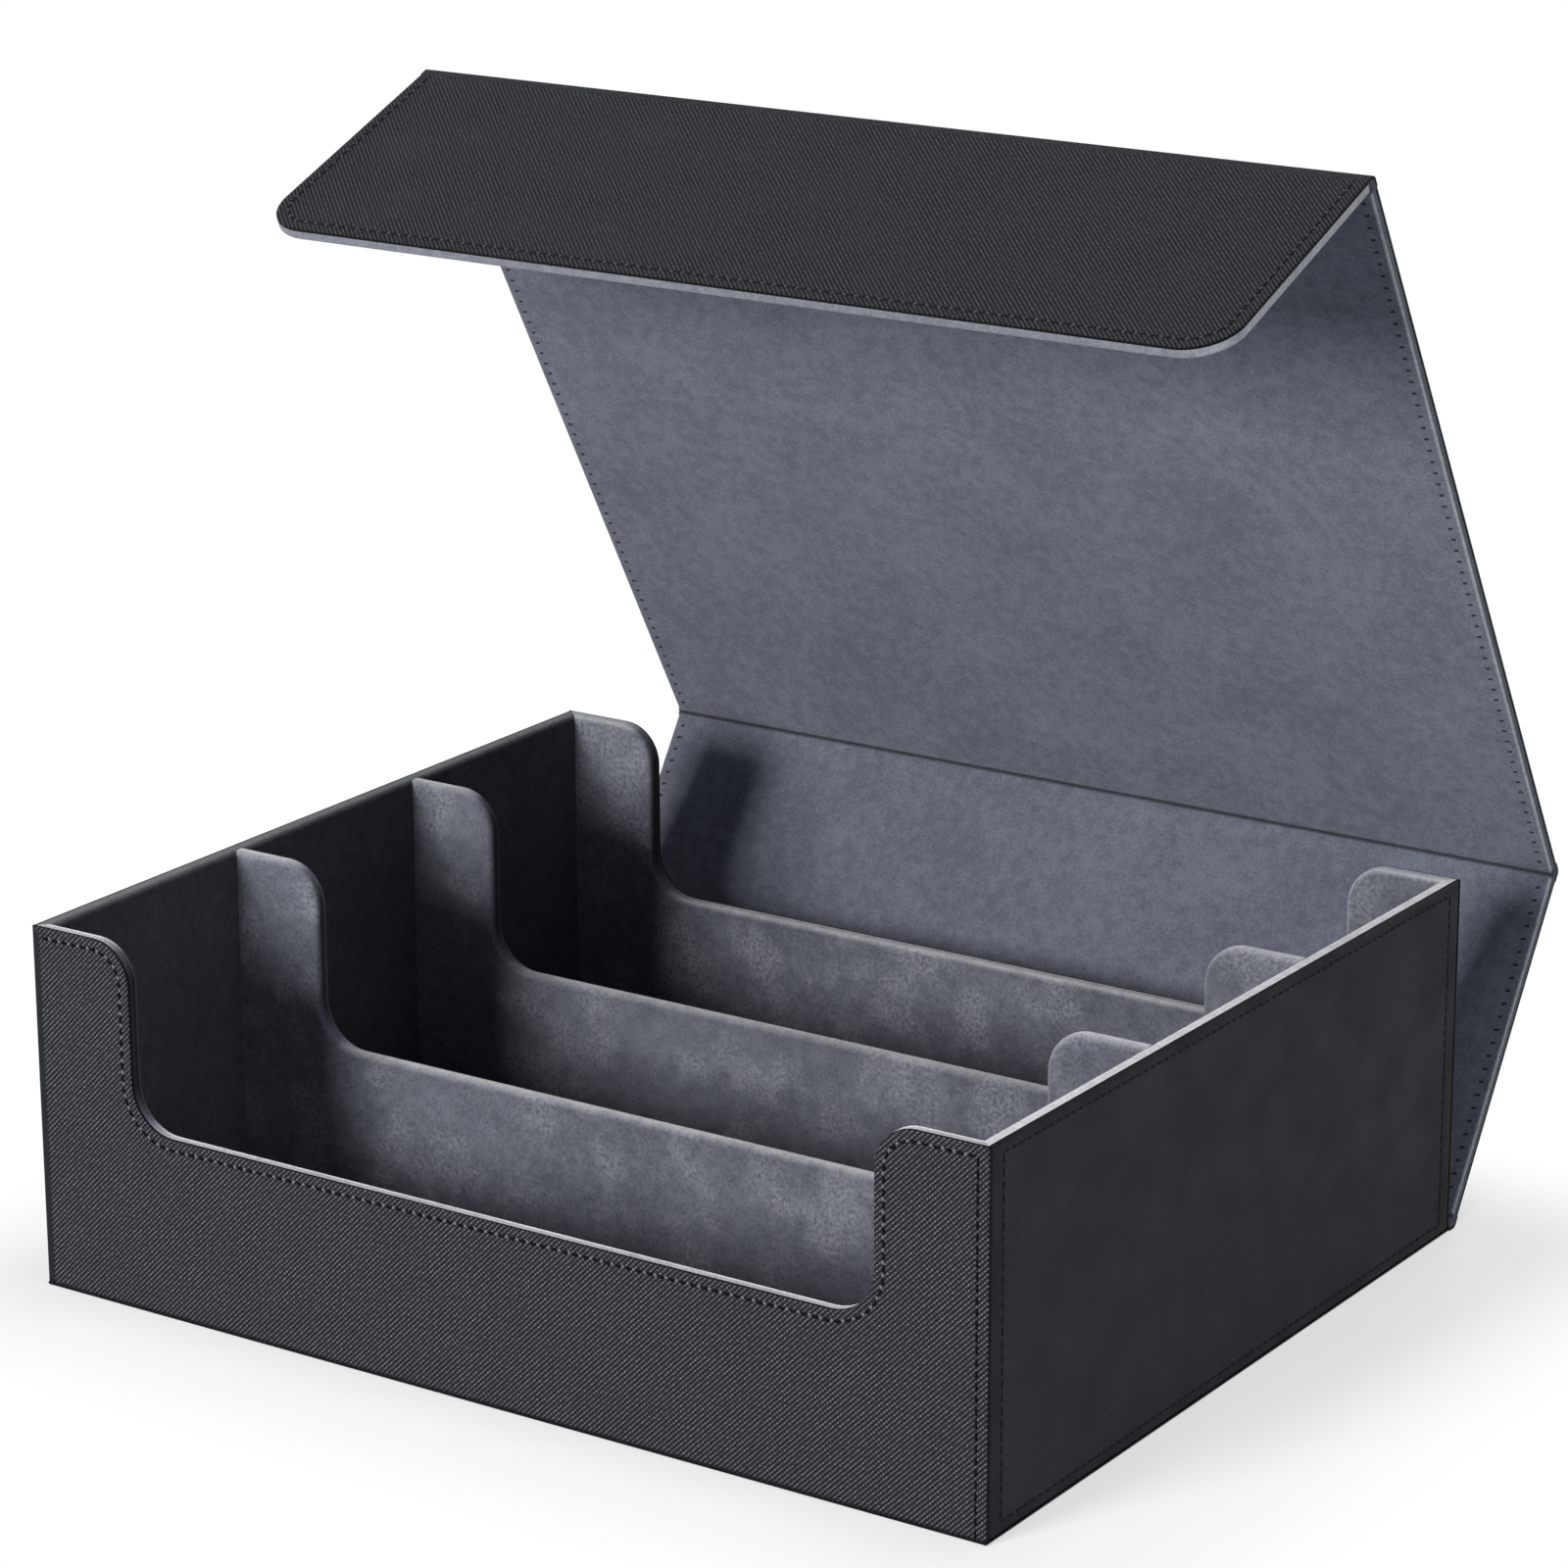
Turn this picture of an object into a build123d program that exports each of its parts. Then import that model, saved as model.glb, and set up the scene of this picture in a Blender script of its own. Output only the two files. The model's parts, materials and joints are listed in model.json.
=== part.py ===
"""Card storage box: three open card rows and a folding lid that closes with hidden magnets.

The frame has its origin in the middle of the underside, +X to the right, +Y to the rear and +Z up.
The lid is a back panel, a top panel and a front flap, joined by three folds that run along X.
It is drawn standing open. Sizes are in millimetres and angles in degrees.
"""

from build123d import *

import os
from math import cos, radians, sin

# The box, measured outside its leather
BOX_WIDTH = 320.0
BOX_DEPTH = 260.0
BOX_HEIGHT = 110.0

# Layers of a wall and of the bottom
LEATHER = 1.0
WALL_BOARD = 3.0
BOTTOM_BOARD = 3.0
LINING = 1.0

# The two dividers: a board in a suede sleeve
DIVIDER_BOARD = 3.0
DIVIDER_SUEDE = 1.0

# The wide notch in the front wall, the dividers and the back wall, with a post left at each side
POST_WIDTH = 35.0
NOTCH_FLOOR = 55.0
NOTCH_TOP_RADIUS = 12.5
NOTCH_FLOOR_RADIUS = 14.0

# Soft rounding of the lined rims and of the upright leather corners
RIM_ROUND = 1.8
CORNER_ROUND = 0.8

# Layers of a lid panel
LID_LEATHER = 1.0
LID_BOARD = 2.0
LID_SUEDE = 1.0
LID_EDGE_ROUND = 1.0

# Room between the shut lid and the box, and between a fold and the panel that turns on it
LID_GAP = 0.6
FOLD_CLEARANCE = 0.3

# The flap, from its fold to its free edge
FLAP_LENGTH = 88.0
FLAP_CORNER = 15.0

# Directions of the standing lid's panels, turned up from +Y
BACK_ANGLE = 56.9
TOP_ANGLE = 119.6
FLAP_ANGLE = 202.1

# Magnet discs: the pair in the front wall's posts faces the pair in the shut flap
MAGNET_DIAMETER = 15.0
MAGNET_THICKNESS = 1.5
MAGNET_INSET = 13.5
MAGNET_CLEARANCE = 0.1

# Reach of a test that asks whether an edge or a corner lies at a given place
NEAR = 0.01

# Faces of the walls, from the outside to the inside
half_width = BOX_WIDTH / 2
half_depth = BOX_DEPTH / 2
board_x = half_width - LEATHER
board_y = half_depth - LEATHER
board_in_x = board_x - WALL_BOARD
board_in_y = board_y - WALL_BOARD
lined_x = board_in_x - LINING
lined_y = board_in_y - LINING
board_top = BOX_HEIGHT - LINING
floor_board_top = LEATHER + BOTTOM_BOARD
floor_top = floor_board_top + LINING
notch_half = half_width - POST_WIDTH

# Three equal rows between the front and the back lining
divider_thickness = DIVIDER_BOARD + 2 * DIVIDER_SUEDE
row_width = (2 * lined_y - 2 * divider_thickness) / 3
divider_y = (row_width + divider_thickness) / 2

# Fold axes of the lid, each half a panel thickness inside the leather
lid_thickness = LID_LEATHER + LID_BOARD + LID_SUEDE
fold_radius = lid_thickness / 2
panel_end = fold_radius + FOLD_CLEARANCE
back_length = BOX_HEIGHT + LID_GAP
top_length = BOX_DEPTH + 2 * LID_GAP + lid_thickness
base_axis = (half_depth + LID_GAP + fold_radius, fold_radius)
top_axis = (
    base_axis[0] + back_length * cos(radians(BACK_ANGLE)),
    base_axis[1] + back_length * sin(radians(BACK_ANGLE)),
)
flap_axis = (
    top_axis[0] + top_length * cos(radians(TOP_ANGLE)),
    top_axis[1] + top_length * sin(radians(TOP_ANGLE)),
)

# Magnet places: along the flap from its fold, and up the front wall where the shut flap brings them
magnet_x = half_width - POST_WIDTH / 2
flap_magnet_y = FLAP_LENGTH - MAGNET_INSET
front_magnet_z = BOX_HEIGHT + LID_GAP + fold_radius - flap_magnet_y


def notched_outline(plane, width, foot, inset):
    """Outline of a notched upright sheet, drawn the given inset inside the finished rim."""
    notch_side = notch_half + inset
    with BuildSketch(plane) as outline:
        with Locations((0, foot)):
            Rectangle(width, BOX_HEIGHT - inset - foot, align=(Align.CENTER, Align.MIN))
        with Locations((0, NOTCH_FLOOR - inset)):
            Rectangle(2 * notch_side, BOX_HEIGHT, align=(Align.CENTER, Align.MIN), mode=Mode.SUBTRACT)
        at_notch = outline.vertices().filter_by(lambda v: abs(abs(v.X) - notch_side) < NEAR)
        fillet(at_notch.group_by(Axis.Y)[0], NOTCH_FLOOR_RADIUS + inset)
        at_notch = outline.vertices().filter_by(lambda v: abs(abs(v.X) - notch_side) < NEAR)
        fillet(at_notch.group_by(Axis.Y)[-1], NOTCH_TOP_RADIUS - inset)
    return outline.sketch


def rim_edges(part, y):
    """Edges of a notched sheet's rim on the face at the given y, without its foot and its upright ends."""
    on_face = part.edges().filter_by(lambda e: abs(e.center().Y - y) < NEAR)
    foot = min(e.center().Z for e in on_face)
    end = max(abs(e.center().X) for e in on_face)
    return on_face.filter_by(lambda e: e.center().Z > foot + NEAR and abs(e.center().X) < end - NEAR)


def panel_plane(axis, angle, height):
    """Plane along a lid panel: origin on its fold, local y away from the fold, local z to the suede side."""
    turn = radians(angle)
    middle = Plane(origin=(0, axis[0], axis[1]), x_dir=(1, 0, 0), z_dir=(0, -sin(turn), cos(turn)))
    return middle.offset(height - fold_radius)


def panel_outline(plane, length, inset):
    """Outline of a panel between two folds, drawn the given inset inside its left and right edges."""
    with BuildSketch(plane) as outline:
        with Locations((0, panel_end)):
            Rectangle(BOX_WIDTH - 2 * inset, length - 2 * panel_end, align=(Align.CENTER, Align.MIN))
    return outline.sketch


def flap_outline(inset):
    """Outline of the flap under its leather, drawn the given inset inside its free edges."""
    with BuildSketch(panel_plane(flap_axis, FLAP_ANGLE, LID_LEATHER)) as outline:
        with Locations((0, panel_end)):
            free_length = FLAP_LENGTH - panel_end - inset
            Rectangle(BOX_WIDTH - 2 * inset, free_length, align=(Align.CENTER, Align.MIN))
        fillet(outline.vertices().group_by(Axis.Y)[-1], FLAP_CORNER - inset)
    return outline.sketch


def edges_along_sides(face):
    """Left and right edges of a lid panel's face."""
    return face.edges().filter_by(lambda e: abs(e.center().X) > half_width - NEAR)


def fold_section(axis, angle, reach, skin):
    """Section of a fold: a round roll on the axis, with a tongue that meets the leather before it."""
    turn = radians(angle)
    across = Plane(origin=(-half_width, axis[0], axis[1]), x_dir=(0, cos(turn), sin(turn)), z_dir=(1, 0, 0))
    with BuildSketch(across) as section:
        Circle(fold_radius)
        with Locations((0, -fold_radius)):
            Rectangle(reach, skin, align=(Align.MAX, Align.MIN))
    return section.sketch


# Bottom: leather, board and lining
with BuildPart() as base_leather:
    with BuildSketch(Plane.XY):
        Rectangle(BOX_WIDTH, BOX_DEPTH)
    extrude(amount=LEATHER)
base_leather.part.label = "base_leather"

with BuildPart() as bottom_board:
    with BuildSketch(Plane.XY.offset(LEATHER)):
        Rectangle(2 * board_in_x, 2 * board_in_y)
    extrude(amount=BOTTOM_BOARD)
bottom_board.part.label = "bottom_board"

with BuildPart() as floor_lining:
    with BuildSketch(Plane.XY.offset(floor_board_top)):
        Rectangle(2 * lined_x, 2 * lined_y)
    extrude(amount=LINING)
floor_lining.part.label = "floor_lining"

# Wall boards: the front and the back one run the full width, the side ones stand between them
with BuildPart() as back_board:
    extrude(notched_outline(Plane.XZ.offset(-board_y), 2 * board_x, LEATHER, LINING), amount=WALL_BOARD)
back_board.part.label = "back_board"

with BuildPart() as front_board:
    mirror(back_board.part, about=Plane.XZ)
    with BuildSketch(Plane.XZ.offset(board_y)):
        with Locations((-magnet_x, front_magnet_z), (magnet_x, front_magnet_z)):
            Circle(MAGNET_DIAMETER / 2 + MAGNET_CLEARANCE)
    extrude(amount=-MAGNET_THICKNESS, mode=Mode.SUBTRACT)
front_board.part.label = "front_board"

with BuildPart() as right_board:
    with BuildSketch(Plane.YZ.offset(board_in_x)):
        with Locations((0, LEATHER)):
            Rectangle(2 * board_in_y, board_top - LEATHER, align=(Align.CENTER, Align.MIN))
    extrude(amount=WALL_BOARD)
right_board.part.label = "right_board"

with BuildPart() as left_board:
    mirror(right_board.part, about=Plane.YZ)
left_board.part.label = "left_board"

# Magnets of the front wall, flush with its board under the leather
with BuildPart() as front_magnets:
    with BuildSketch(Plane.XZ.offset(board_y)):
        with Locations((-magnet_x, front_magnet_z), (magnet_x, front_magnet_z)):
            Circle(MAGNET_DIAMETER / 2)
    extrude(amount=-MAGNET_THICKNESS)
front_magnets.part.label = "front_magnets"

# Wall linings: each covers its wall's inside and turns over the rim to the leather, mitred at the corners
with BuildPart() as back_lining:
    sheet = notched_outline(Plane.XZ.offset(-board_y), 2 * board_x, floor_board_top, 0)
    extrude(sheet, amount=WALL_BOARD + LINING)
    fillet(rim_edges(back_lining.part, lined_y), RIM_ROUND)
    with BuildSketch(Plane.XY):
        with BuildLine():
            Polyline(
                (-board_x, board_y),
                (board_x, board_y),
                (lined_x, lined_y),
                (-lined_x, lined_y),
                close=True,
            )
        make_face()
    extrude(amount=BOX_HEIGHT, mode=Mode.INTERSECT)
    add(back_board.part, mode=Mode.SUBTRACT)
    add(left_board.part, mode=Mode.SUBTRACT)
    add(right_board.part, mode=Mode.SUBTRACT)
back_lining.part.label = "back_lining"

with BuildPart() as front_lining:
    mirror(back_lining.part, about=Plane.XZ)
front_lining.part.label = "front_lining"

with BuildPart() as right_lining:
    with BuildSketch(Plane.YZ.offset(lined_x)):
        with Locations((0, floor_board_top)):
            Rectangle(2 * board_y, BOX_HEIGHT - floor_board_top, align=(Align.CENTER, Align.MIN))
    extrude(amount=WALL_BOARD + LINING)
    fillet(right_lining.edges().group_by(Axis.X)[0].group_by(Axis.Z)[-1], RIM_ROUND)
    with BuildSketch(Plane.XY):
        with BuildLine():
            Polyline(
                (board_x, -board_y),
                (board_x, board_y),
                (lined_x, lined_y),
                (lined_x, -lined_y),
                close=True,
            )
        make_face()
    extrude(amount=BOX_HEIGHT, mode=Mode.INTERSECT)
    add(right_board.part, mode=Mode.SUBTRACT)
    add(front_board.part, mode=Mode.SUBTRACT)
    add(back_board.part, mode=Mode.SUBTRACT)
right_lining.part.label = "right_lining"

with BuildPart() as left_lining:
    mirror(right_lining.part, about=Plane.YZ)
left_lining.part.label = "left_lining"

# Wall leather: the front and the back one lap the side ones
with BuildPart() as back_leather:
    extrude(notched_outline(Plane.XZ.offset(-half_depth), BOX_WIDTH, LEATHER, 0), amount=LEATHER)
    outer_corners = back_leather.edges().filter_by(Axis.Z).filter_by(
        lambda e: abs(e.center().X) > half_width - NEAR and e.center().Y > half_depth - NEAR
    )
    fillet(outer_corners, CORNER_ROUND)
back_leather.part.label = "back_leather"

with BuildPart() as front_leather:
    mirror(back_leather.part, about=Plane.XZ)
front_leather.part.label = "front_leather"

with BuildPart() as right_leather:
    with BuildSketch(Plane.YZ.offset(board_x)):
        with Locations((0, LEATHER)):
            Rectangle(2 * board_y, BOX_HEIGHT - LEATHER, align=(Align.CENTER, Align.MIN))
    extrude(amount=LEATHER)
right_leather.part.label = "right_leather"

with BuildPart() as left_leather:
    mirror(right_leather.part, about=Plane.YZ)
left_leather.part.label = "left_leather"

# Dividers: a notched board on the floor lining, in a suede sleeve that is open at the foot
rear_divider_face = divider_y + divider_thickness / 2

with BuildPart() as rear_divider_board:
    board_plane = Plane.XZ.offset(DIVIDER_SUEDE - rear_divider_face)
    extrude(notched_outline(board_plane, 2 * lined_x, floor_top, DIVIDER_SUEDE), amount=DIVIDER_BOARD)
rear_divider_board.part.label = "rear_divider_board"

with BuildPart() as front_divider_board:
    mirror(rear_divider_board.part, about=Plane.XZ)
front_divider_board.part.label = "front_divider_board"

with BuildPart() as rear_divider_suede:
    sleeve_plane = Plane.XZ.offset(-rear_divider_face)
    extrude(notched_outline(sleeve_plane, 2 * lined_x, floor_top, 0), amount=divider_thickness)
    fillet(rim_edges(rear_divider_suede.part, rear_divider_face), RIM_ROUND)
    fillet(rim_edges(rear_divider_suede.part, rear_divider_face - divider_thickness), RIM_ROUND)
    add(rear_divider_board.part, mode=Mode.SUBTRACT)
rear_divider_suede.part.label = "rear_divider_suede"

with BuildPart() as front_divider_suede:
    mirror(rear_divider_suede.part, about=Plane.XZ)
front_divider_suede.part.label = "front_divider_suede"

# Fold at the bottom rear edge, joined to the base leather
with BuildPart() as base_fold:
    extrude(fold_section(base_axis, 0, LID_GAP + fold_radius, LEATHER), amount=BOX_WIDTH)
base_fold.part.label = "base_fold"

# Back panel and the fold above it
back_outside = panel_plane(base_axis, BACK_ANGLE, 0)
back_under_leather = panel_plane(base_axis, BACK_ANGLE, LID_LEATHER)

with BuildPart() as back_panel_leather:
    extrude(panel_outline(back_outside, back_length, 0), amount=LID_LEATHER)
back_panel_leather.part.label = "back_panel_leather"

with BuildPart() as back_panel_board:
    extrude(panel_outline(back_under_leather, back_length, LID_SUEDE), amount=LID_BOARD)
back_panel_board.part.label = "back_panel_board"

with BuildPart() as back_panel_suede:
    extrude(panel_outline(back_under_leather, back_length, 0), amount=LID_BOARD + LID_SUEDE)
    back_inner_face = back_panel_suede.faces().sort_by(Axis(back_outside.origin, back_outside.z_dir))[-1]
    fillet(edges_along_sides(back_inner_face), LID_EDGE_ROUND)
    add(back_panel_board.part, mode=Mode.SUBTRACT)
back_panel_suede.part.label = "back_panel_suede"

with BuildPart() as top_fold:
    extrude(fold_section(top_axis, BACK_ANGLE, panel_end, LID_LEATHER), amount=BOX_WIDTH)
top_fold.part.label = "top_fold"

# Top panel and the fold before it
top_outside = panel_plane(top_axis, TOP_ANGLE, 0)
top_under_leather = panel_plane(top_axis, TOP_ANGLE, LID_LEATHER)

with BuildPart() as top_panel_leather:
    extrude(panel_outline(top_outside, top_length, 0), amount=LID_LEATHER)
top_panel_leather.part.label = "top_panel_leather"

with BuildPart() as top_panel_board:
    extrude(panel_outline(top_under_leather, top_length, LID_SUEDE), amount=LID_BOARD)
top_panel_board.part.label = "top_panel_board"

with BuildPart() as top_panel_suede:
    extrude(panel_outline(top_under_leather, top_length, 0), amount=LID_BOARD + LID_SUEDE)
    top_inner_face = top_panel_suede.faces().sort_by(Axis(top_outside.origin, top_outside.z_dir))[-1]
    fillet(edges_along_sides(top_inner_face), LID_EDGE_ROUND)
    add(top_panel_board.part, mode=Mode.SUBTRACT)
top_panel_suede.part.label = "top_panel_suede"

with BuildPart() as flap_fold:
    extrude(fold_section(flap_axis, TOP_ANGLE, panel_end, LID_LEATHER), amount=BOX_WIDTH)
flap_fold.part.label = "flap_fold"

# Flap, with round corners at its free edge and hollows for its magnets
flap_board_inside = panel_plane(flap_axis, FLAP_ANGLE, LID_LEATHER + LID_BOARD)

with BuildPart() as flap_leather:
    extrude(flap_outline(0), amount=-LID_LEATHER)
flap_leather.part.label = "flap_leather"

with BuildPart() as flap_core:
    extrude(flap_outline(LID_SUEDE), amount=LID_BOARD)

with BuildPart() as flap_board:
    add(flap_core.part)
    with BuildSketch(flap_board_inside):
        with Locations((-magnet_x, flap_magnet_y), (magnet_x, flap_magnet_y)):
            Circle(MAGNET_DIAMETER / 2 + MAGNET_CLEARANCE)
    extrude(amount=-MAGNET_THICKNESS, mode=Mode.SUBTRACT)
flap_board.part.label = "flap_board"

with BuildPart() as flap_suede:
    extrude(flap_outline(0), amount=LID_BOARD + LID_SUEDE)
    flap_inner_face = flap_suede.faces().sort_by(Axis(flap_board_inside.origin, flap_board_inside.z_dir))[-1]
    from_fold = Axis(flap_board_inside.origin, flap_board_inside.y_dir)
    fillet(flap_inner_face.edges().sort_by(from_fold)[1:], LID_EDGE_ROUND)
    add(flap_core.part, mode=Mode.SUBTRACT)
flap_suede.part.label = "flap_suede"

# Magnets of the flap, flush with its board under the suede
with BuildPart() as flap_magnets:
    with BuildSketch(flap_board_inside):
        with Locations((-magnet_x, flap_magnet_y), (magnet_x, flap_magnet_y)):
            Circle(MAGNET_DIAMETER / 2)
    extrude(amount=-MAGNET_THICKNESS)
flap_magnets.part.label = "flap_magnets"

os.makedirs("parts", exist_ok=True)
export_step(base_leather.part, "parts/base_leather.step")
export_step(bottom_board.part, "parts/bottom_board.step")
export_step(floor_lining.part, "parts/floor_lining.step")
export_step(front_board.part, "parts/front_board.step")
export_step(back_board.part, "parts/back_board.step")
export_step(left_board.part, "parts/left_board.step")
export_step(right_board.part, "parts/right_board.step")
export_step(front_magnets.part, "parts/front_magnets.step")
export_step(front_lining.part, "parts/front_lining.step")
export_step(back_lining.part, "parts/back_lining.step")
export_step(left_lining.part, "parts/left_lining.step")
export_step(right_lining.part, "parts/right_lining.step")
export_step(front_leather.part, "parts/front_leather.step")
export_step(back_leather.part, "parts/back_leather.step")
export_step(left_leather.part, "parts/left_leather.step")
export_step(right_leather.part, "parts/right_leather.step")
export_step(front_divider_board.part, "parts/front_divider_board.step")
export_step(rear_divider_board.part, "parts/rear_divider_board.step")
export_step(front_divider_suede.part, "parts/front_divider_suede.step")
export_step(rear_divider_suede.part, "parts/rear_divider_suede.step")
export_step(base_fold.part, "parts/base_fold.step")
export_step(back_panel_leather.part, "parts/back_panel_leather.step")
export_step(back_panel_board.part, "parts/back_panel_board.step")
export_step(back_panel_suede.part, "parts/back_panel_suede.step")
export_step(top_fold.part, "parts/top_fold.step")
export_step(top_panel_leather.part, "parts/top_panel_leather.step")
export_step(top_panel_board.part, "parts/top_panel_board.step")
export_step(top_panel_suede.part, "parts/top_panel_suede.step")
export_step(flap_fold.part, "parts/flap_fold.step")
export_step(flap_leather.part, "parts/flap_leather.step")
export_step(flap_board.part, "parts/flap_board.step")
export_step(flap_suede.part, "parts/flap_suede.step")
export_step(flap_magnets.part, "parts/flap_magnets.step")
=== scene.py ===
"""Looks of a folding card storage box: twill leather outside, grey suede inside, dark sewing thread.

The box has three rows between notched walls and notched dividers. Its lid is three stiff panels that fold up
from the rear edge of the base. Every size is in metres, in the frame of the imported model.
"""

import json
import logging
import math
from contextlib import contextmanager
from dataclasses import dataclass
from enum import Enum
from typing import Callable, Iterator, Sequence

import bmesh
import bpy
from mathutils import Matrix, Vector
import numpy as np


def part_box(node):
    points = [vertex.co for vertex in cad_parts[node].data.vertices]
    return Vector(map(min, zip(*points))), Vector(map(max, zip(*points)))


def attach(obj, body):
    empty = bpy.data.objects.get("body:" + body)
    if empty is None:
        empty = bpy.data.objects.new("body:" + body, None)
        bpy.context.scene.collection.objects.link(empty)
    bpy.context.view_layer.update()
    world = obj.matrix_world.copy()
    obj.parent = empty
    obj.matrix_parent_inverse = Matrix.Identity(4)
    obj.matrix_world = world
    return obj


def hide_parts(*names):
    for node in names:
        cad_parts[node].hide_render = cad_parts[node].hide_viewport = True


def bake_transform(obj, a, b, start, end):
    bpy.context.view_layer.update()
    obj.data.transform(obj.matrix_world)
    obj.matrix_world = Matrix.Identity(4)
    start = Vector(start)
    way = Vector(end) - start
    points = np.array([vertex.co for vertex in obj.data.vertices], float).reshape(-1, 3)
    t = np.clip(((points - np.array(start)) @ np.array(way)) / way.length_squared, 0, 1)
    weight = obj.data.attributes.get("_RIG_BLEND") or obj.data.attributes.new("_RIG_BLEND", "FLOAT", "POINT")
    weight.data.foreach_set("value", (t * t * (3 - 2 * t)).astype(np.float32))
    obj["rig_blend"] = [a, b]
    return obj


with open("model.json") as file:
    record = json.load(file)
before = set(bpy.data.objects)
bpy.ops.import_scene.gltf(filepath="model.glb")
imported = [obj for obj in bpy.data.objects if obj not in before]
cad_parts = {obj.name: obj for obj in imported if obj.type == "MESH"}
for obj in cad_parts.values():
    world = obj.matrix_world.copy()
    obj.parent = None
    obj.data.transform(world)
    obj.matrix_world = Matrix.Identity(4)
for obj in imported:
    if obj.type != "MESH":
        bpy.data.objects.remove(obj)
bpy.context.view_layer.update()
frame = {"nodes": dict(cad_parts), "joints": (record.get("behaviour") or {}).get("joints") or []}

MM = 0.001
TINY = 0.02 * MM
CUT_LIMIT = 0.01 * TINY
ARC_STEPS = 10
SMOOTH_ANGLE = math.radians(40.0)
SHARP_ANGLE = 1.0
FACING = 0.99
NOISE_RANGE = (0.3, 0.7)
BOTH_SIDES = (-1.0, 1.0)
LOG = logging.getLogger("card_box")

X_AXIS = Vector((1.0, 0.0, 0.0))
Y_AXIS = Vector((0.0, 1.0, 0.0))
Z_AXIS = Vector((0.0, 0.0, 1.0))

Point = tuple[float, float]
Triple = tuple[float, float, float]
Colour = tuple[float, float, float]
Piece = bpy.types.Object
Socket = bpy.types.NodeSocket
Inputs = dict[str | int, object]
Element = bmesh.types.BMVert | bmesh.types.BMEdge | bmesh.types.BMFace


class Pick(Enum):
    """What a selection in edit mode holds."""

    VERTS = "VERT"
    EDGES = "EDGE"
    FACES = "FACE"


class Edge(Enum):
    """The four edges of a flat sheet, as directions in its own frame."""

    FOOT = (0.0, -1.0, 0.0)
    TOP = (0.0, 1.0, 0.0)
    LEFT = (-1.0, 0.0, 0.0)
    RIGHT = (1.0, 0.0, 0.0)

    def out(self) -> Vector:
        """The direction out of the sheet."""
        return Vector(self.value)


class Slot(Enum):
    """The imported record's material slots."""

    LEATHER = "outer_leather"
    SUEDE = "suede"
    SIDE_LINING = "side_lining"
    BOARD = "board"
    MAGNET = "magnet"


class Body(Enum):
    """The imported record's moving bodies."""

    BOX = "box"
    BACK = "back_panel"
    TOP = "top_panel"
    FLAP = "flap"


def activate(obj: Piece) -> None:
    """Select one object alone and make it active.

    Args:
        obj: the object to select.
    """
    bpy.ops.object.select_all(action="DESELECT")
    obj.select_set(True)
    bpy.context.view_layer.objects.active = obj


@contextmanager
def editing(obj: Piece) -> Iterator[None]:
    """Open one mesh alone in edit mode.

    Args:
        obj: the mesh object to edit.

    Yields:
        Nothing, while the mesh is open.
    """
    activate(obj)
    bpy.ops.object.mode_set(mode="EDIT")
    yield
    bpy.ops.object.mode_set(mode="OBJECT")


def add_mesh(
    name: str, add: Callable[..., object], scale: Triple = (1.0, 1.0, 1.0), **settings: object
) -> Piece:
    """Add a primitive at its size and place, with nothing else selected.

    Args:
        name: the object's name.
        add: the operator that adds the primitive.
        scale: its stretch along each axis.
        settings: the operator's settings.

    Returns:
        The new mesh object.
    """
    bpy.ops.object.select_all(action="DESELECT")
    add(**settings)
    obj = bpy.context.object
    obj.name = obj.data.name = name
    obj.scale = scale
    bpy.ops.object.transform_apply(location=True, rotation=True, scale=True)
    return obj


def pick(obj: Piece, kind: Pick, test: Callable[[Element], bool]) -> None:
    """Select the elements of the edited mesh that pass a test, and no others.

    Args:
        obj: the object in edit mode.
        kind: vertices, edges or faces.
        test: says whether an element is wanted.
    """
    bpy.ops.mesh.select_mode(type=kind.value)
    bpy.ops.mesh.select_all(action="DESELECT")
    mesh = bmesh.from_edit_mesh(obj.data)
    items = {Pick.VERTS: mesh.verts, Pick.EDGES: mesh.edges, Pick.FACES: mesh.faces}[kind]
    for item in [item for item in items if test(item)]:
        item.select_set(True)
    mesh.select_flush_mode()
    bmesh.update_edit_mesh(obj.data)


def cut(point: Sequence[float], normal: Sequence[float], drop: bool = False) -> None:
    """Bisect the whole edited mesh with a plane.

    Args:
        point: a point of the plane.
        normal: the plane's normal.
        drop: whether what lies on the normal's side is removed and the cut closed.
    """
    bpy.ops.mesh.select_all(action="SELECT")
    bpy.ops.mesh.bisect(
        plane_co=point, plane_no=normal, clear_outer=drop, use_fill=drop, threshold=CUT_LIMIT
    )


def extrude_back(depth: float) -> None:
    """Extrude what is selected in the edited sheet away from its visible face."""
    bpy.ops.mesh.extrude_region_move(TRANSFORM_OT_translate={"value": (0.0, 0.0, -depth)})


def round_edges(radius: float, segments: int) -> None:
    """Round the selected edges of the edited mesh."""
    bpy.ops.mesh.bevel(affect="EDGES", offset=radius, segments=segments, profile=0.5)


def turn_faces_out() -> None:
    """Point every face of the edited closed mesh outwards."""
    bpy.ops.mesh.select_all(action="SELECT")
    bpy.ops.mesh.normals_make_consistent(inside=False)


def use_modifier(obj: Piece, kind: str, **settings: object) -> None:
    """Add a modifier, set it and apply it.

    Args:
        obj: the mesh object.
        kind: the modifier's type.
        settings: the modifier's properties.
    """
    activate(obj)
    modifier = obj.modifiers.new(kind.lower(), kind)
    for key, value in settings.items():
        setattr(modifier, key, value)
    bpy.ops.object.modifier_apply(modifier=modifier.name)


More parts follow.
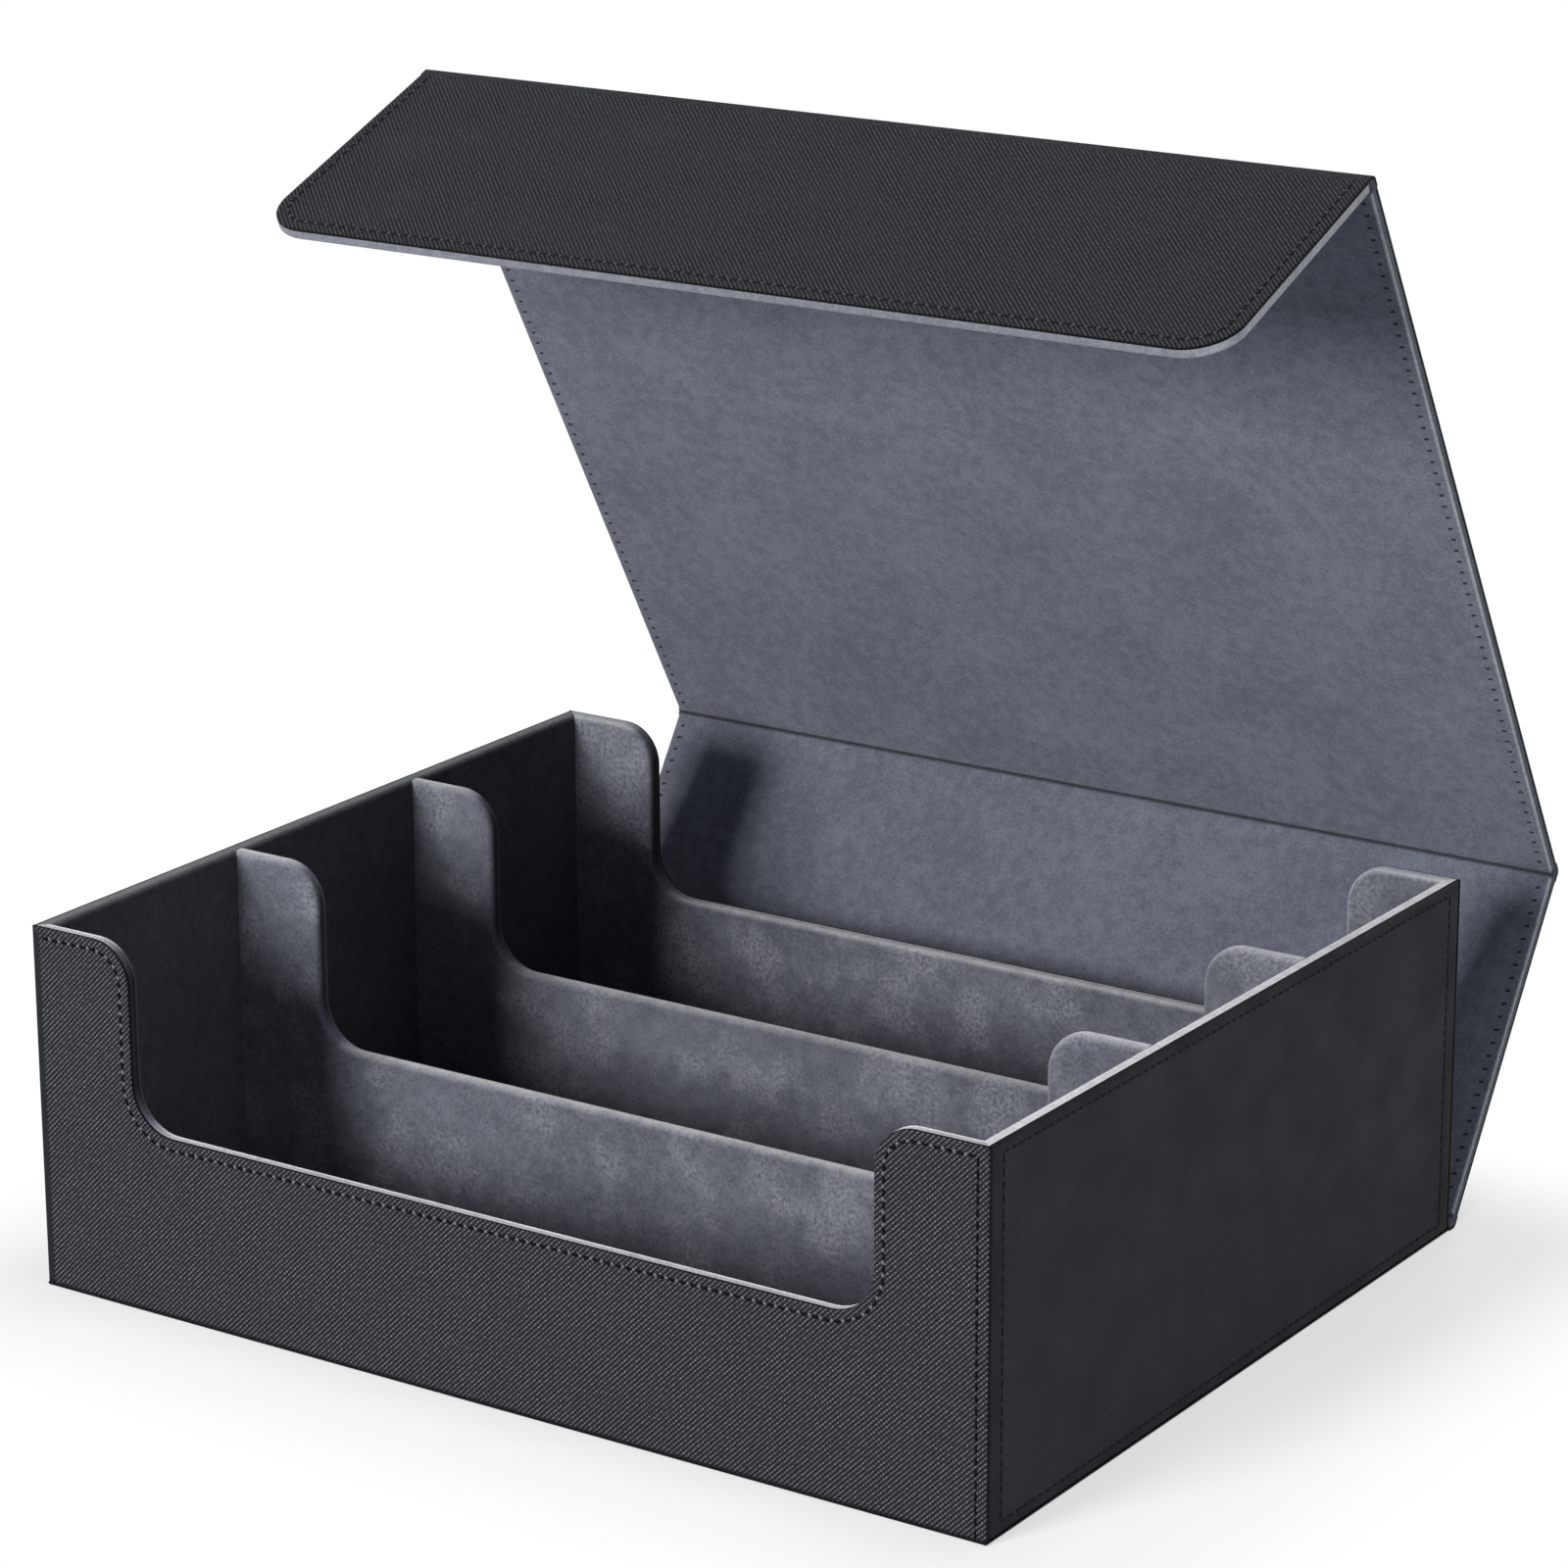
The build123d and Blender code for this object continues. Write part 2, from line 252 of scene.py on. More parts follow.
def smooth(obj: Piece, weighted: bool = True) -> None:
    """Shade rounded edges smooth and keep sharp ones.

    Args:
        obj: the mesh object.
        weighted: whether large faces stay flat up to their rounded edges.
    """
    activate(obj)
    bpy.ops.object.shade_smooth_by_angle(angle=SMOOTH_ANGLE)
    if weighted:
        use_modifier(obj, "WEIGHTED_NORMAL", keep_sharp=True, weight=100)


def write_points(obj: Piece, name: str, values: Sequence[float]) -> None:
    """Store one number at each point of a mesh, for its finish to read."""
    obj.data.attributes.new(name, "FLOAT", "POINT").data.foreach_set("value", values)


def lay_weave(obj: Piece, mirrored: bool) -> None:
    """Give a flat sheet a UV map in metres, so that its weave follows the sheet.

    Args:
        obj: the mesh object, still in the sheet's own frame.
        mirrored: whether the map runs against the sheet's x.
    """
    mesh = obj.data
    layer = mesh.uv_layers.active or mesh.uv_layers.new(name="weave")
    layer.name = "weave"
    sign = -1.0 if mirrored else 1.0
    for loop in mesh.loops:
        co = mesh.vertices[loop.vertex_index].co
        layer.data[loop.index].uv = (sign * co.x, co.y)


def arc(centre: Point, radius: float, start: float, end: float) -> list[Point]:
    """Points along a circle's arc.

    Args:
        centre: the circle's centre.
        radius: its radius.
        start: the first angle, in degrees.
        end: the last angle, in degrees.

    Returns:
        The points, from start to end.
    """
    turns = [math.radians(start + (end - start) * k / ARC_STEPS) for k in range(ARC_STEPS + 1)]
    return [(centre[0] + radius * math.cos(t), centre[1] + radius * math.sin(t)) for t in turns]


@dataclass(frozen=True)
class Place:
    """Where a flat sheet lies: its own x runs across, its y along, and its z out of the visible face."""

    origin: Vector
    across: Vector
    along: Vector

    def settle(self, obj: Piece) -> None:
        """Put a finished mesh in its place, with the place kept in its vertices.

        Args:
            obj: the mesh object, still in the sheet's own frame.
        """
        activate(obj)
        turn = Matrix((self.across, self.along, self.across.cross(self.along))).transposed()
        obj.matrix_world = Matrix.Translation(self.origin) @ turn.to_4x4()
        bpy.ops.object.transform_apply(location=True, rotation=True, scale=True)


@dataclass(frozen=True)
class Outline:
    """The flat shape of a sheet: a rectangle, with a finger notch in its top or round top corners."""

    half_width: float
    foot: float
    top: float
    notch_half: float = 0.0
    notch_floor: float = 0.0
    notch_top_round: float = 0.0
    notch_floor_round: float = 0.0
    corner_round: float = 0.0

    def reach(self, edge: Edge) -> float:
        """How far an edge lies from the sheet's own origin, along its direction."""
        return {Edge.FOOT: -self.foot, Edge.TOP: self.top}.get(edge, self.half_width)

    def is_on(self, edge: Edge, co: Vector) -> bool:
        """Whether a point lies on an edge or past it."""
        return co.dot(edge.out()) > self.reach(edge) - TINY

    def sheet(self, name: str, margins: dict[Edge, float] | None = None) -> Piece:
        """Cut the shape from a plane, as one face that looks along z.

        Args:
            name: the object's name.
            margins: how much longer the sheet is cut at each edge.

        Returns:
            The new mesh object.
        """
        spare = margins or dict.fromkeys(Edge, 0.0)
        left, right = -self.half_width - spare[Edge.LEFT], self.half_width + spare[Edge.RIGHT]
        foot, top = self.foot - spare[Edge.FOOT], self.top + spare[Edge.TOP]
        size = (right - left, top - foot, 1.0)
        middle = ((left + right) / 2, (foot + top) / 2, 0.0)
        obj = add_mesh(name, bpy.ops.mesh.primitive_plane_add, size, size=1.0, location=middle)
        with editing(obj):
            if self.notch_half:
                self.cut_notch(obj, top)
            if self.corner_round:
                pick(obj, Pick.VERTS, lambda v: v.co.y > self.top - TINY)
                bpy.ops.mesh.bevel(affect="VERTICES", offset=self.corner_round, segments=2 * ARC_STEPS)
        return obj

    def cut_notch(self, obj: Piece, top: float) -> None:
        """Cut the finger notch out of the edited plane and round its corners.

        Args:
            obj: the plane in edit mode.
            top: the height of its top edge.
        """
        half, floor = self.notch_half, self.notch_floor

        def in_notch(face: bmesh.types.BMFace) -> bool:
            """Whether a face lies in the notch."""
            middle = face.calc_center_median()
            return abs(middle.x) < half - TINY and middle.y > floor

        cut((half, 0.0, 0.0), X_AXIS)
        cut((-half, 0.0, 0.0), X_AXIS)
        cut((0.0, floor, 0.0), Y_AXIS)
        pick(obj, Pick.FACES, in_notch)
        bpy.ops.mesh.delete(type="FACE")
        bpy.ops.mesh.select_all(action="SELECT")
        bpy.ops.mesh.dissolve_limited(angle_limit=math.radians(1.0))
        for level, radius in ((floor, self.notch_floor_round), (top, self.notch_top_round)):
            pick(obj, Pick.VERTS, lambda v: abs(v.co.x) < half + TINY and abs(v.co.y - level) < TINY)
            bpy.ops.mesh.bevel(affect="VERTICES", offset=radius, segments=ARC_STEPS)

    def rim_line(self, inset: float, left: float, right: float) -> list[Point]:
        """A line that follows the top edge and the notch, inside the sheet.

        Args:
            inset: the distance from the edge.
            left: where it starts, from the left end.
            right: where it stops, from the right end.

        Returns:
            The line's points, from left to right.
        """
        rim = (self.notch_half + self.notch_top_round, self.top - self.notch_top_round)
        floor = (self.notch_half - self.notch_floor_round, self.notch_floor + self.notch_floor_round)
        half = arc((-rim[0], rim[1]), self.notch_top_round - inset, 90.0, 0.0)
        half += arc((-floor[0], floor[1]), self.notch_floor_round + inset, 180.0, 270.0)
        notch = half + [(-x, y) for x, y in reversed(half)]
        high = self.top - inset
        return [(-self.half_width + left, high), *notch, (self.half_width - right, high)]

    def skirt_line(self, inset: float, foot: float) -> list[Point]:
        """A line up the left side, round the top corners and down the right side.

        Args:
            inset: the distance from the edge.
            foot: where it starts and stops, above the foot.

        Returns:
            The line's points, from the left foot to the right foot.
        """
        centre = (self.half_width - self.corner_round, self.top - self.corner_round)
        left = [(-self.half_width + inset, self.foot + foot)]
        left += arc((-centre[0], centre[1]), self.corner_round - inset, 180.0, 90.0)
        return left + [(-x, y) for x, y in reversed(left)]


class Tree:
    """Short calls for the nodes of one material or world."""

    def __init__(self, owner: bpy.types.Material | bpy.types.World) -> None:
        """Start with the owner's standard shader and output.

        Args:
            owner: the new material or world.
        """
        owner.use_nodes = True
        self.owner = owner
        self.nodes = owner.node_tree.nodes
        self.links = owner.node_tree.links
        self.shader = self.nodes.get("Principled BSDF") or self.nodes["Background"]
        self.output = self.nodes.get("Material Output") or self.nodes["World Output"]

    def add(self, kind: str, inputs: Inputs | None = None, **settings: object) -> bpy.types.Node:
        """Add a node.

        Args:
            kind: the node's type.
            inputs: socket names or numbers, each with a value or the socket that feeds it.
            settings: the node's properties.

        Returns:
            The new node.
        """
        node = self.nodes.new(kind)
        for key, value in settings.items():
            setattr(node, key, value)
        self.feed(node, inputs or {})
        return node

    def feed(self, node: bpy.types.Node, inputs: Inputs) -> None:
        """Set or link a node's inputs.

        Args:
            node: the node.
            inputs: socket names or numbers, each with a value or the socket that feeds it.
        """
        for key, value in inputs.items():
            if isinstance(value, Socket):
                self.links.new(value, node.inputs[key])
            else:
                node.inputs[key].default_value = value

    def finish(self, inputs: Inputs) -> bpy.types.Material:
        """Set the shader's inputs and give the material."""
        self.feed(self.shader, inputs)
        return self.owner

    def object_place(self) -> Socket:
        """The object coordinates."""
        return self.add("ShaderNodeTexCoord").outputs["Object"]

    def attribute(self, name: str) -> Socket:
        """A number that the mesh holds at each point."""
        return self.add("ShaderNodeAttribute", attribute_name=name).outputs["Fac"]

    def math(self, operation: str, *values: object) -> Socket:
        """The result of a Math node, from numbers or sockets."""
        return self.add("ShaderNodeMath", dict(enumerate(values)), operation=operation).outputs[0]

    def vector(self, operation: str, *values: object) -> Socket:
        """The result of a Vector Math node, from vectors or sockets."""
        node = self.add("ShaderNodeVectorMath", dict(enumerate(values)), operation=operation)
        return node.outputs["Value" if operation == "LENGTH" else "Vector"]

    def noise(self, place: Socket, scale: float, detail: float = 2.0) -> Socket:
        """A noise of about 0.5 in the mean, with its scale per metre and its octaves."""
        inputs = {"Vector": place, "Scale": scale, "Detail": detail}
        return self.add("ShaderNodeTexNoise", inputs).outputs["Fac"]

    def span(self, value: Socket, low: float, high: float, bottom: float = 0.0, top: float = 1.0) -> Socket:
        """Map one range of a value to another, with soft ends.

        Args:
            value: the value to map.
            low: the start of its range.
            high: the end of its range.
            bottom: what low becomes.
            top: what high becomes.

        Returns:
            The mapped value.
        """
        inputs = {"Value": value, 1: low, 2: high, 3: bottom, 4: top}
        node = self.add("ShaderNodeMapRange", inputs, interpolation_type="SMOOTHSTEP")
        return node.outputs["Result"]

    def blend(self, share: Socket, first: Colour | Socket, second: Colour | Socket) -> Socket:
        """Mix two colours.

        Args:
            share: how much of the second.
            first: a colour or a socket.
            second: a colour or a socket.

        Returns:
            The mixed colour.
        """
        node = self.add("ShaderNodeMix", data_type="RGBA")
        self.feed(node, {0: share})
        for key, value in ((6, first), (7, second)):
            self.feed(node, {key: value if isinstance(value, Socket) else (*value, 1.0)})
        return node.outputs[2]

    def bump(self, height: Socket, depth: float, strength: float, under: Socket | None = None) -> Socket:
        """Add a Bump node.

        Args:
            height: the height, from 0 to 1.
            depth: the height's size in metres.
            strength: the share of it that shows.
            under: the bumped normal that it lies on.

        Returns:
            The bumped normal.
        """
        inputs = {"Height": height, "Distance": depth, "Strength": strength}
        if under is not None:
            inputs["Normal"] = under
        return self.add("ShaderNodeBump", inputs).outputs["Normal"]

    def seen(self) -> Socket:
        """Tell what is looked at from what only gives light.

        Returns:
            A value that is 1 for what the camera, a reflection or glass sees.
        """
        path = self.add("ShaderNodeLightPath").outputs
        plain = self.math("MAXIMUM", path["Is Camera Ray"], path["Is Glossy Ray"])
        return self.math("MAXIMUM", plain, path["Is Transmission Ray"])

    def whiten(self, share: Socket, kind: str) -> None:
        """Mix plain white over the standard shader.

        Args:
            share: how much of the white shows.
            kind: the node type that gives white.
        """
        white = self.add(kind, {"Color": (1.0, 1.0, 1.0, 1.0), "Strength": 1.0})
        mixed = self.add("ShaderNodeMixShader", {0: share, 1: self.shader.outputs[0], 2: white.outputs[0]})
        self.links.new(mixed.outputs[0], self.output.inputs["Surface"])


@dataclass(frozen=True)
class TwillLeather:
    """Black leather, pressed with a fine diagonal twill, with painted shade in its valleys and painted
    highlights on its knots.
    """

    name: str = "twill_leather"
    flat: Colour = (0.024, 0.026, 0.031)
    # Painted shade: the twill's valleys are coloured darker than its ridges, as if the light missed them.
    valley_shade: Colour = (0.0085, 0.0091, 0.0108)
    ridge: Colour = (0.031, 0.0333, 0.0398)
    # Painted highlight: the twill's knots are coloured pale where they would catch the light.
    glint_highlight: Colour = (0.21, 0.219, 0.245)
    paint: Colour = (0.0035, 0.0036, 0.004)
    pitch: float = 1.12 * MM
    cross_pitch: float = 1.13 * MM
    depth: float = 0.2 * MM
    relief: float = 0.8
    crest_range: Point = (0.04, 0.72)
    knot: float = 0.12
    knot_rise: float = 0.2
    knot_range: Point = (0.4, 1.0)
    dot_range: Point = (0.1, 0.95)
    waver: float = 1.3
    waver_scale: float = 420.0
    wear_scale: float = 55.0
    wear_least: float = 0.75
    speck_scale: float = 900.0
    speck_range: Point = (0.35, 0.68)
    speck_least: float = 0.2
    paint_range: Point = (0.15, 0.75)
    grain_scale: float = 2600.0
    grain_depth: float = 0.05 * MM
    grain: float = 0.25
    rough_range: Point = (0.25, 0.75)
    roughness: Point = (0.53, 0.66)
    specular: float = 0.07

    @staticmethod
    def wave(tree: Tree, across: Socket, pitch: float, drift: Socket) -> Socket:
        """A wave across the weave.

        Args:
            tree: the material's nodes.
            across: the sum or difference of the weave's coordinates.
            pitch: the distance from crest to crest.
            drift: how far the wave wavers.

        Returns:
            The wave, from 0 to 1.
        """
        turn = math.tau / (pitch * math.sqrt(2.0))
        sine = tree.math("SINE", tree.math("MULTIPLY_ADD", across, turn, drift))
        return tree.math("MULTIPLY_ADD", sine, 0.5, 0.5)

    def material(self) -> bpy.types.Material:
        """Make the material.

        Returns:
            The leather.
        """
        tree = Tree(bpy.data.materials.new(self.name))
        weave = tree.add("ShaderNodeUVMap", uv_map="weave").outputs["UV"]
        axes = tree.add("ShaderNodeSeparateXYZ", {0: weave}).outputs
        drift = tree.math("MULTIPLY", tree.noise(weave, self.waver_scale), self.waver)
        wave = self.wave(tree, tree.math("SUBTRACT", axes[0], axes[1]), self.pitch, drift)
        dots = self.wave(tree, tree.math("ADD", axes[0], axes[1]), self.cross_pitch, drift)
        crest = tree.span(wave, *self.crest_range)
        broken = tree.span(dots, *self.dot_range, self.knot)
        knots = tree.math("MULTIPLY", tree.span(wave, *self.knot_range), broken)
        wear = tree.noise(tree.object_place(), self.wear_scale, 3.0)
        specks = tree.span(tree.noise(weave, self.speck_scale), *self.speck_range, self.speck_least)
        bright = tree.math("MULTIPLY", specks, tree.span(wear, *NOISE_RANGE, self.wear_least))
        # Painted highlight on the twill's knots, broken up by specks and wear.
        glint_highlight = tree.math("MULTIPLY", knots, bright)
        twill = tree.blend(glint_highlight, tree.blend(crest, self.valley_shade, self.ridge), self.glint_highlight)
        press = tree.attribute("press")
        pressed = tree.blend(press, self.flat, twill)
        painted = tree.span(tree.attribute("edge"), *self.paint_range)
        height = tree.math("MULTIPLY", tree.math("MULTIPLY_ADD", knots, self.knot_rise, crest), press)
        fine = tree.bump(tree.noise(weave, self.grain_scale, 3.0), self.grain_depth, self.grain)
        return tree.finish(
            {
                "Base Color": tree.blend(painted, pressed, self.paint),
                "Roughness": tree.span(wear, *self.rough_range, *self.roughness),
                "Specular IOR Level": self.specular,
                "Normal": tree.bump(height, self.depth, self.relief, fine),
            }
        )


@dataclass(frozen=True)
class Suede:
    """Napped suede with soft cloudy marks, paler where it turns over an edge, partly as a painted highlight,
    and with painted shade on edges that face away from the light.
    """

    name: str
    dark: Colour
    light: Colour
    # rim is the colour of pale rims, partly a painted highlight; shadow is the colour of painted shade.
    rim: Colour = (0.9, 0.91, 0.94)
    shadow: Colour = (0.012, 0.0125, 0.0145)
    worn: Colour = (0.31, 0.32, 0.36)
    scuff: float = 0.1
    cloud: float = 0.4
    cloud_scale: float = 26.0
    brush: float = 0.6
    brush_scale: float = 260.0
    nap: float = 0.9
    nap_scale: float = 1300.0
    nap_depth: float = 0.35 * MM
    nap_relief: float = 0.35
    tone_range: Point = (0.26, 0.76)
    patch_scale: float = 60.0
    patch_range: Point = (0.45, 0.67)
    patch_least: float = 0.08
    speck_scale: float = 800.0
    rim_range: Point = (0.25, 0.7)
    rim_least: float = 0.65
    roughness: float = 0.95
    rim_polish: float = 0.45
    specular: float = 0.12
    rim_specular: float = 0.5
    sheen: float = 0.15
    rim_sheen: float = 0.85
    sheen_roughness: float = 0.5

    def material(self) -> bpy.types.Material:
        """Make the material.

        Returns:
            The suede.
        """
        tree = Tree(bpy.data.materials.new(self.name))
        place = tree.object_place()
        cloud = tree.noise(place, self.cloud_scale, 3.0)
        brushed = tree.noise(place, self.brush_scale, 3.0)
        nap = tree.noise(place, self.nap_scale, 3.0)
        tone = tree.math("MULTIPLY_ADD", brushed, self.brush, tree.math("MULTIPLY", cloud, self.cloud))
        grain = tree.math("MULTIPLY_ADD", tree.math("SUBTRACT", nap, 0.5), self.nap, tone)
        body = tree.blend(tree.span(grain, *self.tone_range), self.dark, self.light)
        patches = tree.span(tree.noise(place, self.patch_scale, 4.0), *self.patch_range, self.patch_least)
        specks = tree.span(tree.noise(place, self.speck_scale, 3.0), *NOISE_RANGE, 0.0, self.scuff)
        scuffed = tree.blend(tree.math("MULTIPLY", patches, specks), body, self.worn)
        # The rim attribute paints light and shade: above 0 it mixes in the pale rim colour, partly a painted
        # highlight, below 0 the shadow colour as painted shade.
        edge = tree.attribute("rim")
        faded = tree.span(grain, *self.rim_range, self.rim_least)
        pale = tree.math("MULTIPLY", tree.math("MAXIMUM", edge, 0.0), faded)
        dark = tree.math("MAXIMUM", tree.math("MULTIPLY", edge, -1.0), 0.0)
        pile = tree.math("MULTIPLY_ADD", brushed, self.brush, nap)
        return tree.finish(
            {
                "Base Color": tree.blend(dark, tree.blend(pale, scuffed, self.rim), self.shadow),
                "Roughness": tree.math("MULTIPLY_ADD", pale, -self.rim_polish, self.roughness),
                "Specular IOR Level": tree.math("MULTIPLY_ADD", pale, self.rim_specular, self.specular),
                "Sheen Weight": tree.math("MULTIPLY_ADD", pale, self.rim_sheen, self.sheen),
                "Sheen Roughness": self.sheen_roughness,
                "Normal": tree.bump(pile, self.nap_depth, self.nap_relief),
            }
        )


@dataclass(frozen=True)
class Grained:
    """A plain finish that one fine grain makes darker and lighter, smoother and rougher."""

    name: str
    dark: Colour
    light: Colour
    scale: float
    detail: float
    roughness: Point
    specular: float = 0.5
    metallic: float = 0.0
    depth: float = 0.0
    relief: float = 0.0

    def material(self) -> bpy.types.Material:
        """Make the material.

        Returns:
            The finish.
        """
        tree = Tree(bpy.data.materials.new(self.name))
        grain = tree.noise(tree.object_place(), self.scale, self.detail)
        inputs = {
            "Base Color": tree.blend(tree.span(grain, *NOISE_RANGE), self.dark, self.light),
            "Roughness": tree.span(grain, *NOISE_RANGE, *self.roughness),
            "Specular IOR Level": self.specular,
            "Metallic": self.metallic,
        }
        if self.relief:
            inputs["Normal"] = tree.bump(grain, self.depth, self.relief)
        return tree.finish(inputs)


@dataclass(frozen=True)
class SewingThread(Grained):
    """Near-black waxed thread with a fine twist."""

    name: str = "sewing_thread"
    dark: Colour = (0.0012, 0.0012, 0.0015)
    light: Colour = (0.004, 0.004, 0.0045)
    scale: float = 3200.0
    detail: float = 2.0
    roughness: Point = (0.6, 0.8)
    specular: float = 0.06
    depth: float = 0.08 * MM
    relief: float = 0.4


@dataclass(frozen=True)
class GreyBoard(Grained):
    """Pressed grey bookbinder's board."""

    name: str = "grey_board"
    dark: Colour = (0.16, 0.155, 0.145)
    light: Colour = (0.26, 0.25, 0.235)
    scale: float = 900.0
    detail: float = 4.0
    roughness: Point = (0.8, 0.95)
    depth: float = 0.1 * MM
    relief: float = 0.3


@dataclass(frozen=True)
class PlatedSteel(Grained):
    """Nickel plating of the magnet discs."""

    name: str = "plated_steel"
    dark: Colour = (0.42, 0.42, 0.41)
    light: Colour = (0.56, 0.56, 0.54)
    scale: float = 700.0
    detail: float = 3.0
    roughness: Point = (0.22, 0.4)
    metallic: float = 1.0


class Finishes:
    """The finishes of the whole box, made once."""

    def __init__(self) -> None:
        """Make every material."""
        self.leather = TwillLeather().material()
        # A darker copy of the twill leather for the lid panels: painted shade that keeps the up-facing flap
        # darker than the front.
        self.lid_leather = TwillLeather(
            "lid_leather",
            flat=(0.0122, 0.0131, 0.0162),
            valley_shade=(0.0032, 0.0035, 0.0043),
            ridge=(0.015, 0.0161, 0.0199),
            glint_highlight=(0.105, 0.11, 0.125),
            knot=0.5,
        ).material()
        # Pale copies of the leather for the humps between stitches: a painted highlight where the raised
        # leather catches the light.
        self.hump_highlight = TwillLeather("raised_leather", flat=(0.15, 0.156, 0.172)).material()
        self.lid_hump_highlight = TwillLeather("lid_raised_leather", flat=(0.07, 0.073, 0.081)).material()
        self.suede = Suede("grey_suede", (0.082, 0.087, 0.109), (0.142, 0.149, 0.18), scuff=0.58).material()
        # The lid's suede is a lighter, bluer copy of the grey suede: partly its own tone, partly painted
        # light matched to the light on the lid.
        self.lid_suede = Suede("lid_suede", (0.102, 0.1095, 0.1415), (0.168, 0.178, 0.222)).material()
        # The side linings' charcoal suede is darker than the grey suede, partly as painted shade on the left
        # wall's inside, which faces away from the key lamp.
        self.charcoal_and_shade = Suede(
            "charcoal_suede", (0.0265, 0.028, 0.0342), (0.0478, 0.0502, 0.0607), scuff=0.05
        ).material()
        self.thread = SewingThread().material()
        self.dull_thread = SewingThread(
            "dull_thread", (0.007, 0.0074, 0.0085), (0.014, 0.0147, 0.017)
        ).material()
        self.side_thread = SewingThread(
            "side_thread", (0.012, 0.0127, 0.015), (0.024, 0.0252, 0.03)
        ).material()
        self.grey_thread = SewingThread(
            "grey_thread", (0.02, 0.021, 0.025), (0.045, 0.047, 0.055)
        ).material()
        self.board = GreyBoard().material()
        self.steel = PlatedSteel().material()


def dress(obj: Piece, material: bpy.types.Material) -> None:
    """Give a piece one material."""
    obj.data.materials.clear()
    obj.data.materials.append(material)


def hand_over(
    obj: Piece, material: bpy.types.Material, body: Body, node: str | None = None
) -> None:
    """Dress a finished piece and let it ride on its body and stand for its CAD node.

    Args:
        obj: the piece.
        material: its finish.
        body: the body that carries it.
        node: the CAD node that it replaces.
    """
    dress(obj, material)
    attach(obj, body.value)
    if node:
        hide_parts(node)
    LOG.info("%s rides on %s, %d faces", obj.name, body.value, len(obj.data.polygons))


@dataclass(frozen=True)
class LeatherSheet:
    """A leather skin with rounded edges and a pressed groove for its sewing."""

    name: str
    outline: Outline
    place: Place
    thickness: float
    groove_inset: float = 4.2 * MM
    bare: tuple[Edge, ...] = ()
    left_inset: float = 0.0
    right_inset: float = 0.0
    # The left band and the foot band get painted shade, where the skin rounds away from the light.
    left_band: float = 0.0
    left_band_shade: float = 0.45
    foot_shade_band: float = 0.0
    foot_shade: float = 0.7
    lip: float = 0.0
    lip_width: float = 1.0 * MM
    edge_round: float = 0.6 * MM
    groove_width: float = 0.9 * MM
    groove_depth: float = 0.22 * MM
    groove_shade: float = 0.4
    border_paint: float = 0.0
    spare: float = 12.0 * MM
    mirrored: bool = False
    grooved: bool = True
    press: float = 1.0

    def make(self) -> Piece:
        """Model the sheet and put it in its place.

        Returns:
            The sheet.
        """
        shape = self.outline
        margins = {edge: self.spare if edge in self.bare else 0.0 for edge in Edge}
        # The groove has one inset all round, so a side with its own is cut longer and then pulled in.
        insets = {Edge.LEFT: self.left_inset, Edge.RIGHT: self.right_inset}
        pulls = {edge: self.groove_inset - inset if inset else 0.0 for edge, inset in insets.items()}
        for edge, pull in pulls.items():
            margins[edge] += pull
        obj = shape.sheet(self.name, margins)
        with editing(obj):
            self.thicken(obj)
            if self.grooved:
                self.press_groove(obj)
            for edge, pull in pulls.items():
                out = edge.out()
                reach = shape.half_width + pull - self.groove_inset + self.groove_width
                pick(obj, Pick.VERTS, lambda v: v.co.dot(out) > reach)
                bpy.ops.transform.translate(value=-pull * out)
            for edge in self.bare:
                cut(edge.out() * shape.reach(edge), edge.out(), drop=True)
            self.shade(obj)
        lay_weave(obj, self.mirrored)
        smooth(obj)
        self.place.settle(obj)
        return obj

    def thicken(self, obj: Piece) -> None:
        """Extrude the edited face to the leather's thickness and round the visible edges.

        Args:
            obj: the sheet in edit mode.
        """
        bpy.ops.mesh.select_all(action="SELECT")
        extrude_back(self.thickness)
        turn_faces_out()
        pick(obj, Pick.EDGES, lambda e: all(abs(v.co.z) < TINY for v in e.verts))
        round_edges(self.edge_round, 3)
        if self.lip:
            self.turn_lip(obj)
        mesh = bmesh.from_edit_mesh(obj.data)
        edge = mesh.verts.layers.float.new("edge")
        press = mesh.verts.layers.float.new("press")
        for vert in mesh.verts:
            vert[edge] = max(self.border_paint, min(1.0, -vert.co.z / self.edge_round))
            vert[press] = self.press
        bmesh.update_edit_mesh(obj.data)

    def turn_lip(self, obj: Piece) -> None:
        """Turn the edited sheet's border over the board's sides.

        Args:
            obj: the sheet in edit mode.
        """
        pick(obj, Pick.FACES, lambda f: f.normal.z < -FACING)
        bpy.ops.mesh.inset(thickness=self.lip_width, depth=0.0)
        inner = [face.index for face in bmesh.from_edit_mesh(obj.data).faces if face.select]
        pick(obj, Pick.FACES, lambda f: f.normal.z < -FACING and f.index not in inner)
        extrude_back(self.lip)

    def press_groove(self, obj: Piece) -> None:
        """Press a shallow groove parallel to the edges of the edited sheet, with painted shade in it.

        Args:
            obj: the sheet in edit mode.
        """
        half = self.groove_width / 2
        # The groove's bottom gets painted shade.
        steps = (
            (self.groove_inset - self.edge_round - half, 0.0, self.border_paint),
            (half, -self.groove_depth, self.groove_shade),
            (half, self.groove_depth, 0.0),
        )
        pick(obj, Pick.FACES, lambda f: f.normal.z > FACING and f.calc_center_median().z > -TINY)
        for width, depth, paint in steps:
            bpy.ops.mesh.inset(thickness=width, depth=depth)
            mesh = bmesh.from_edit_mesh(obj.data)
            edge = mesh.verts.layers.float["edge"]
            for vert in [vert for vert in mesh.verts if vert.select]:
                vert[edge] = paint
            bmesh.update_edit_mesh(obj.data)

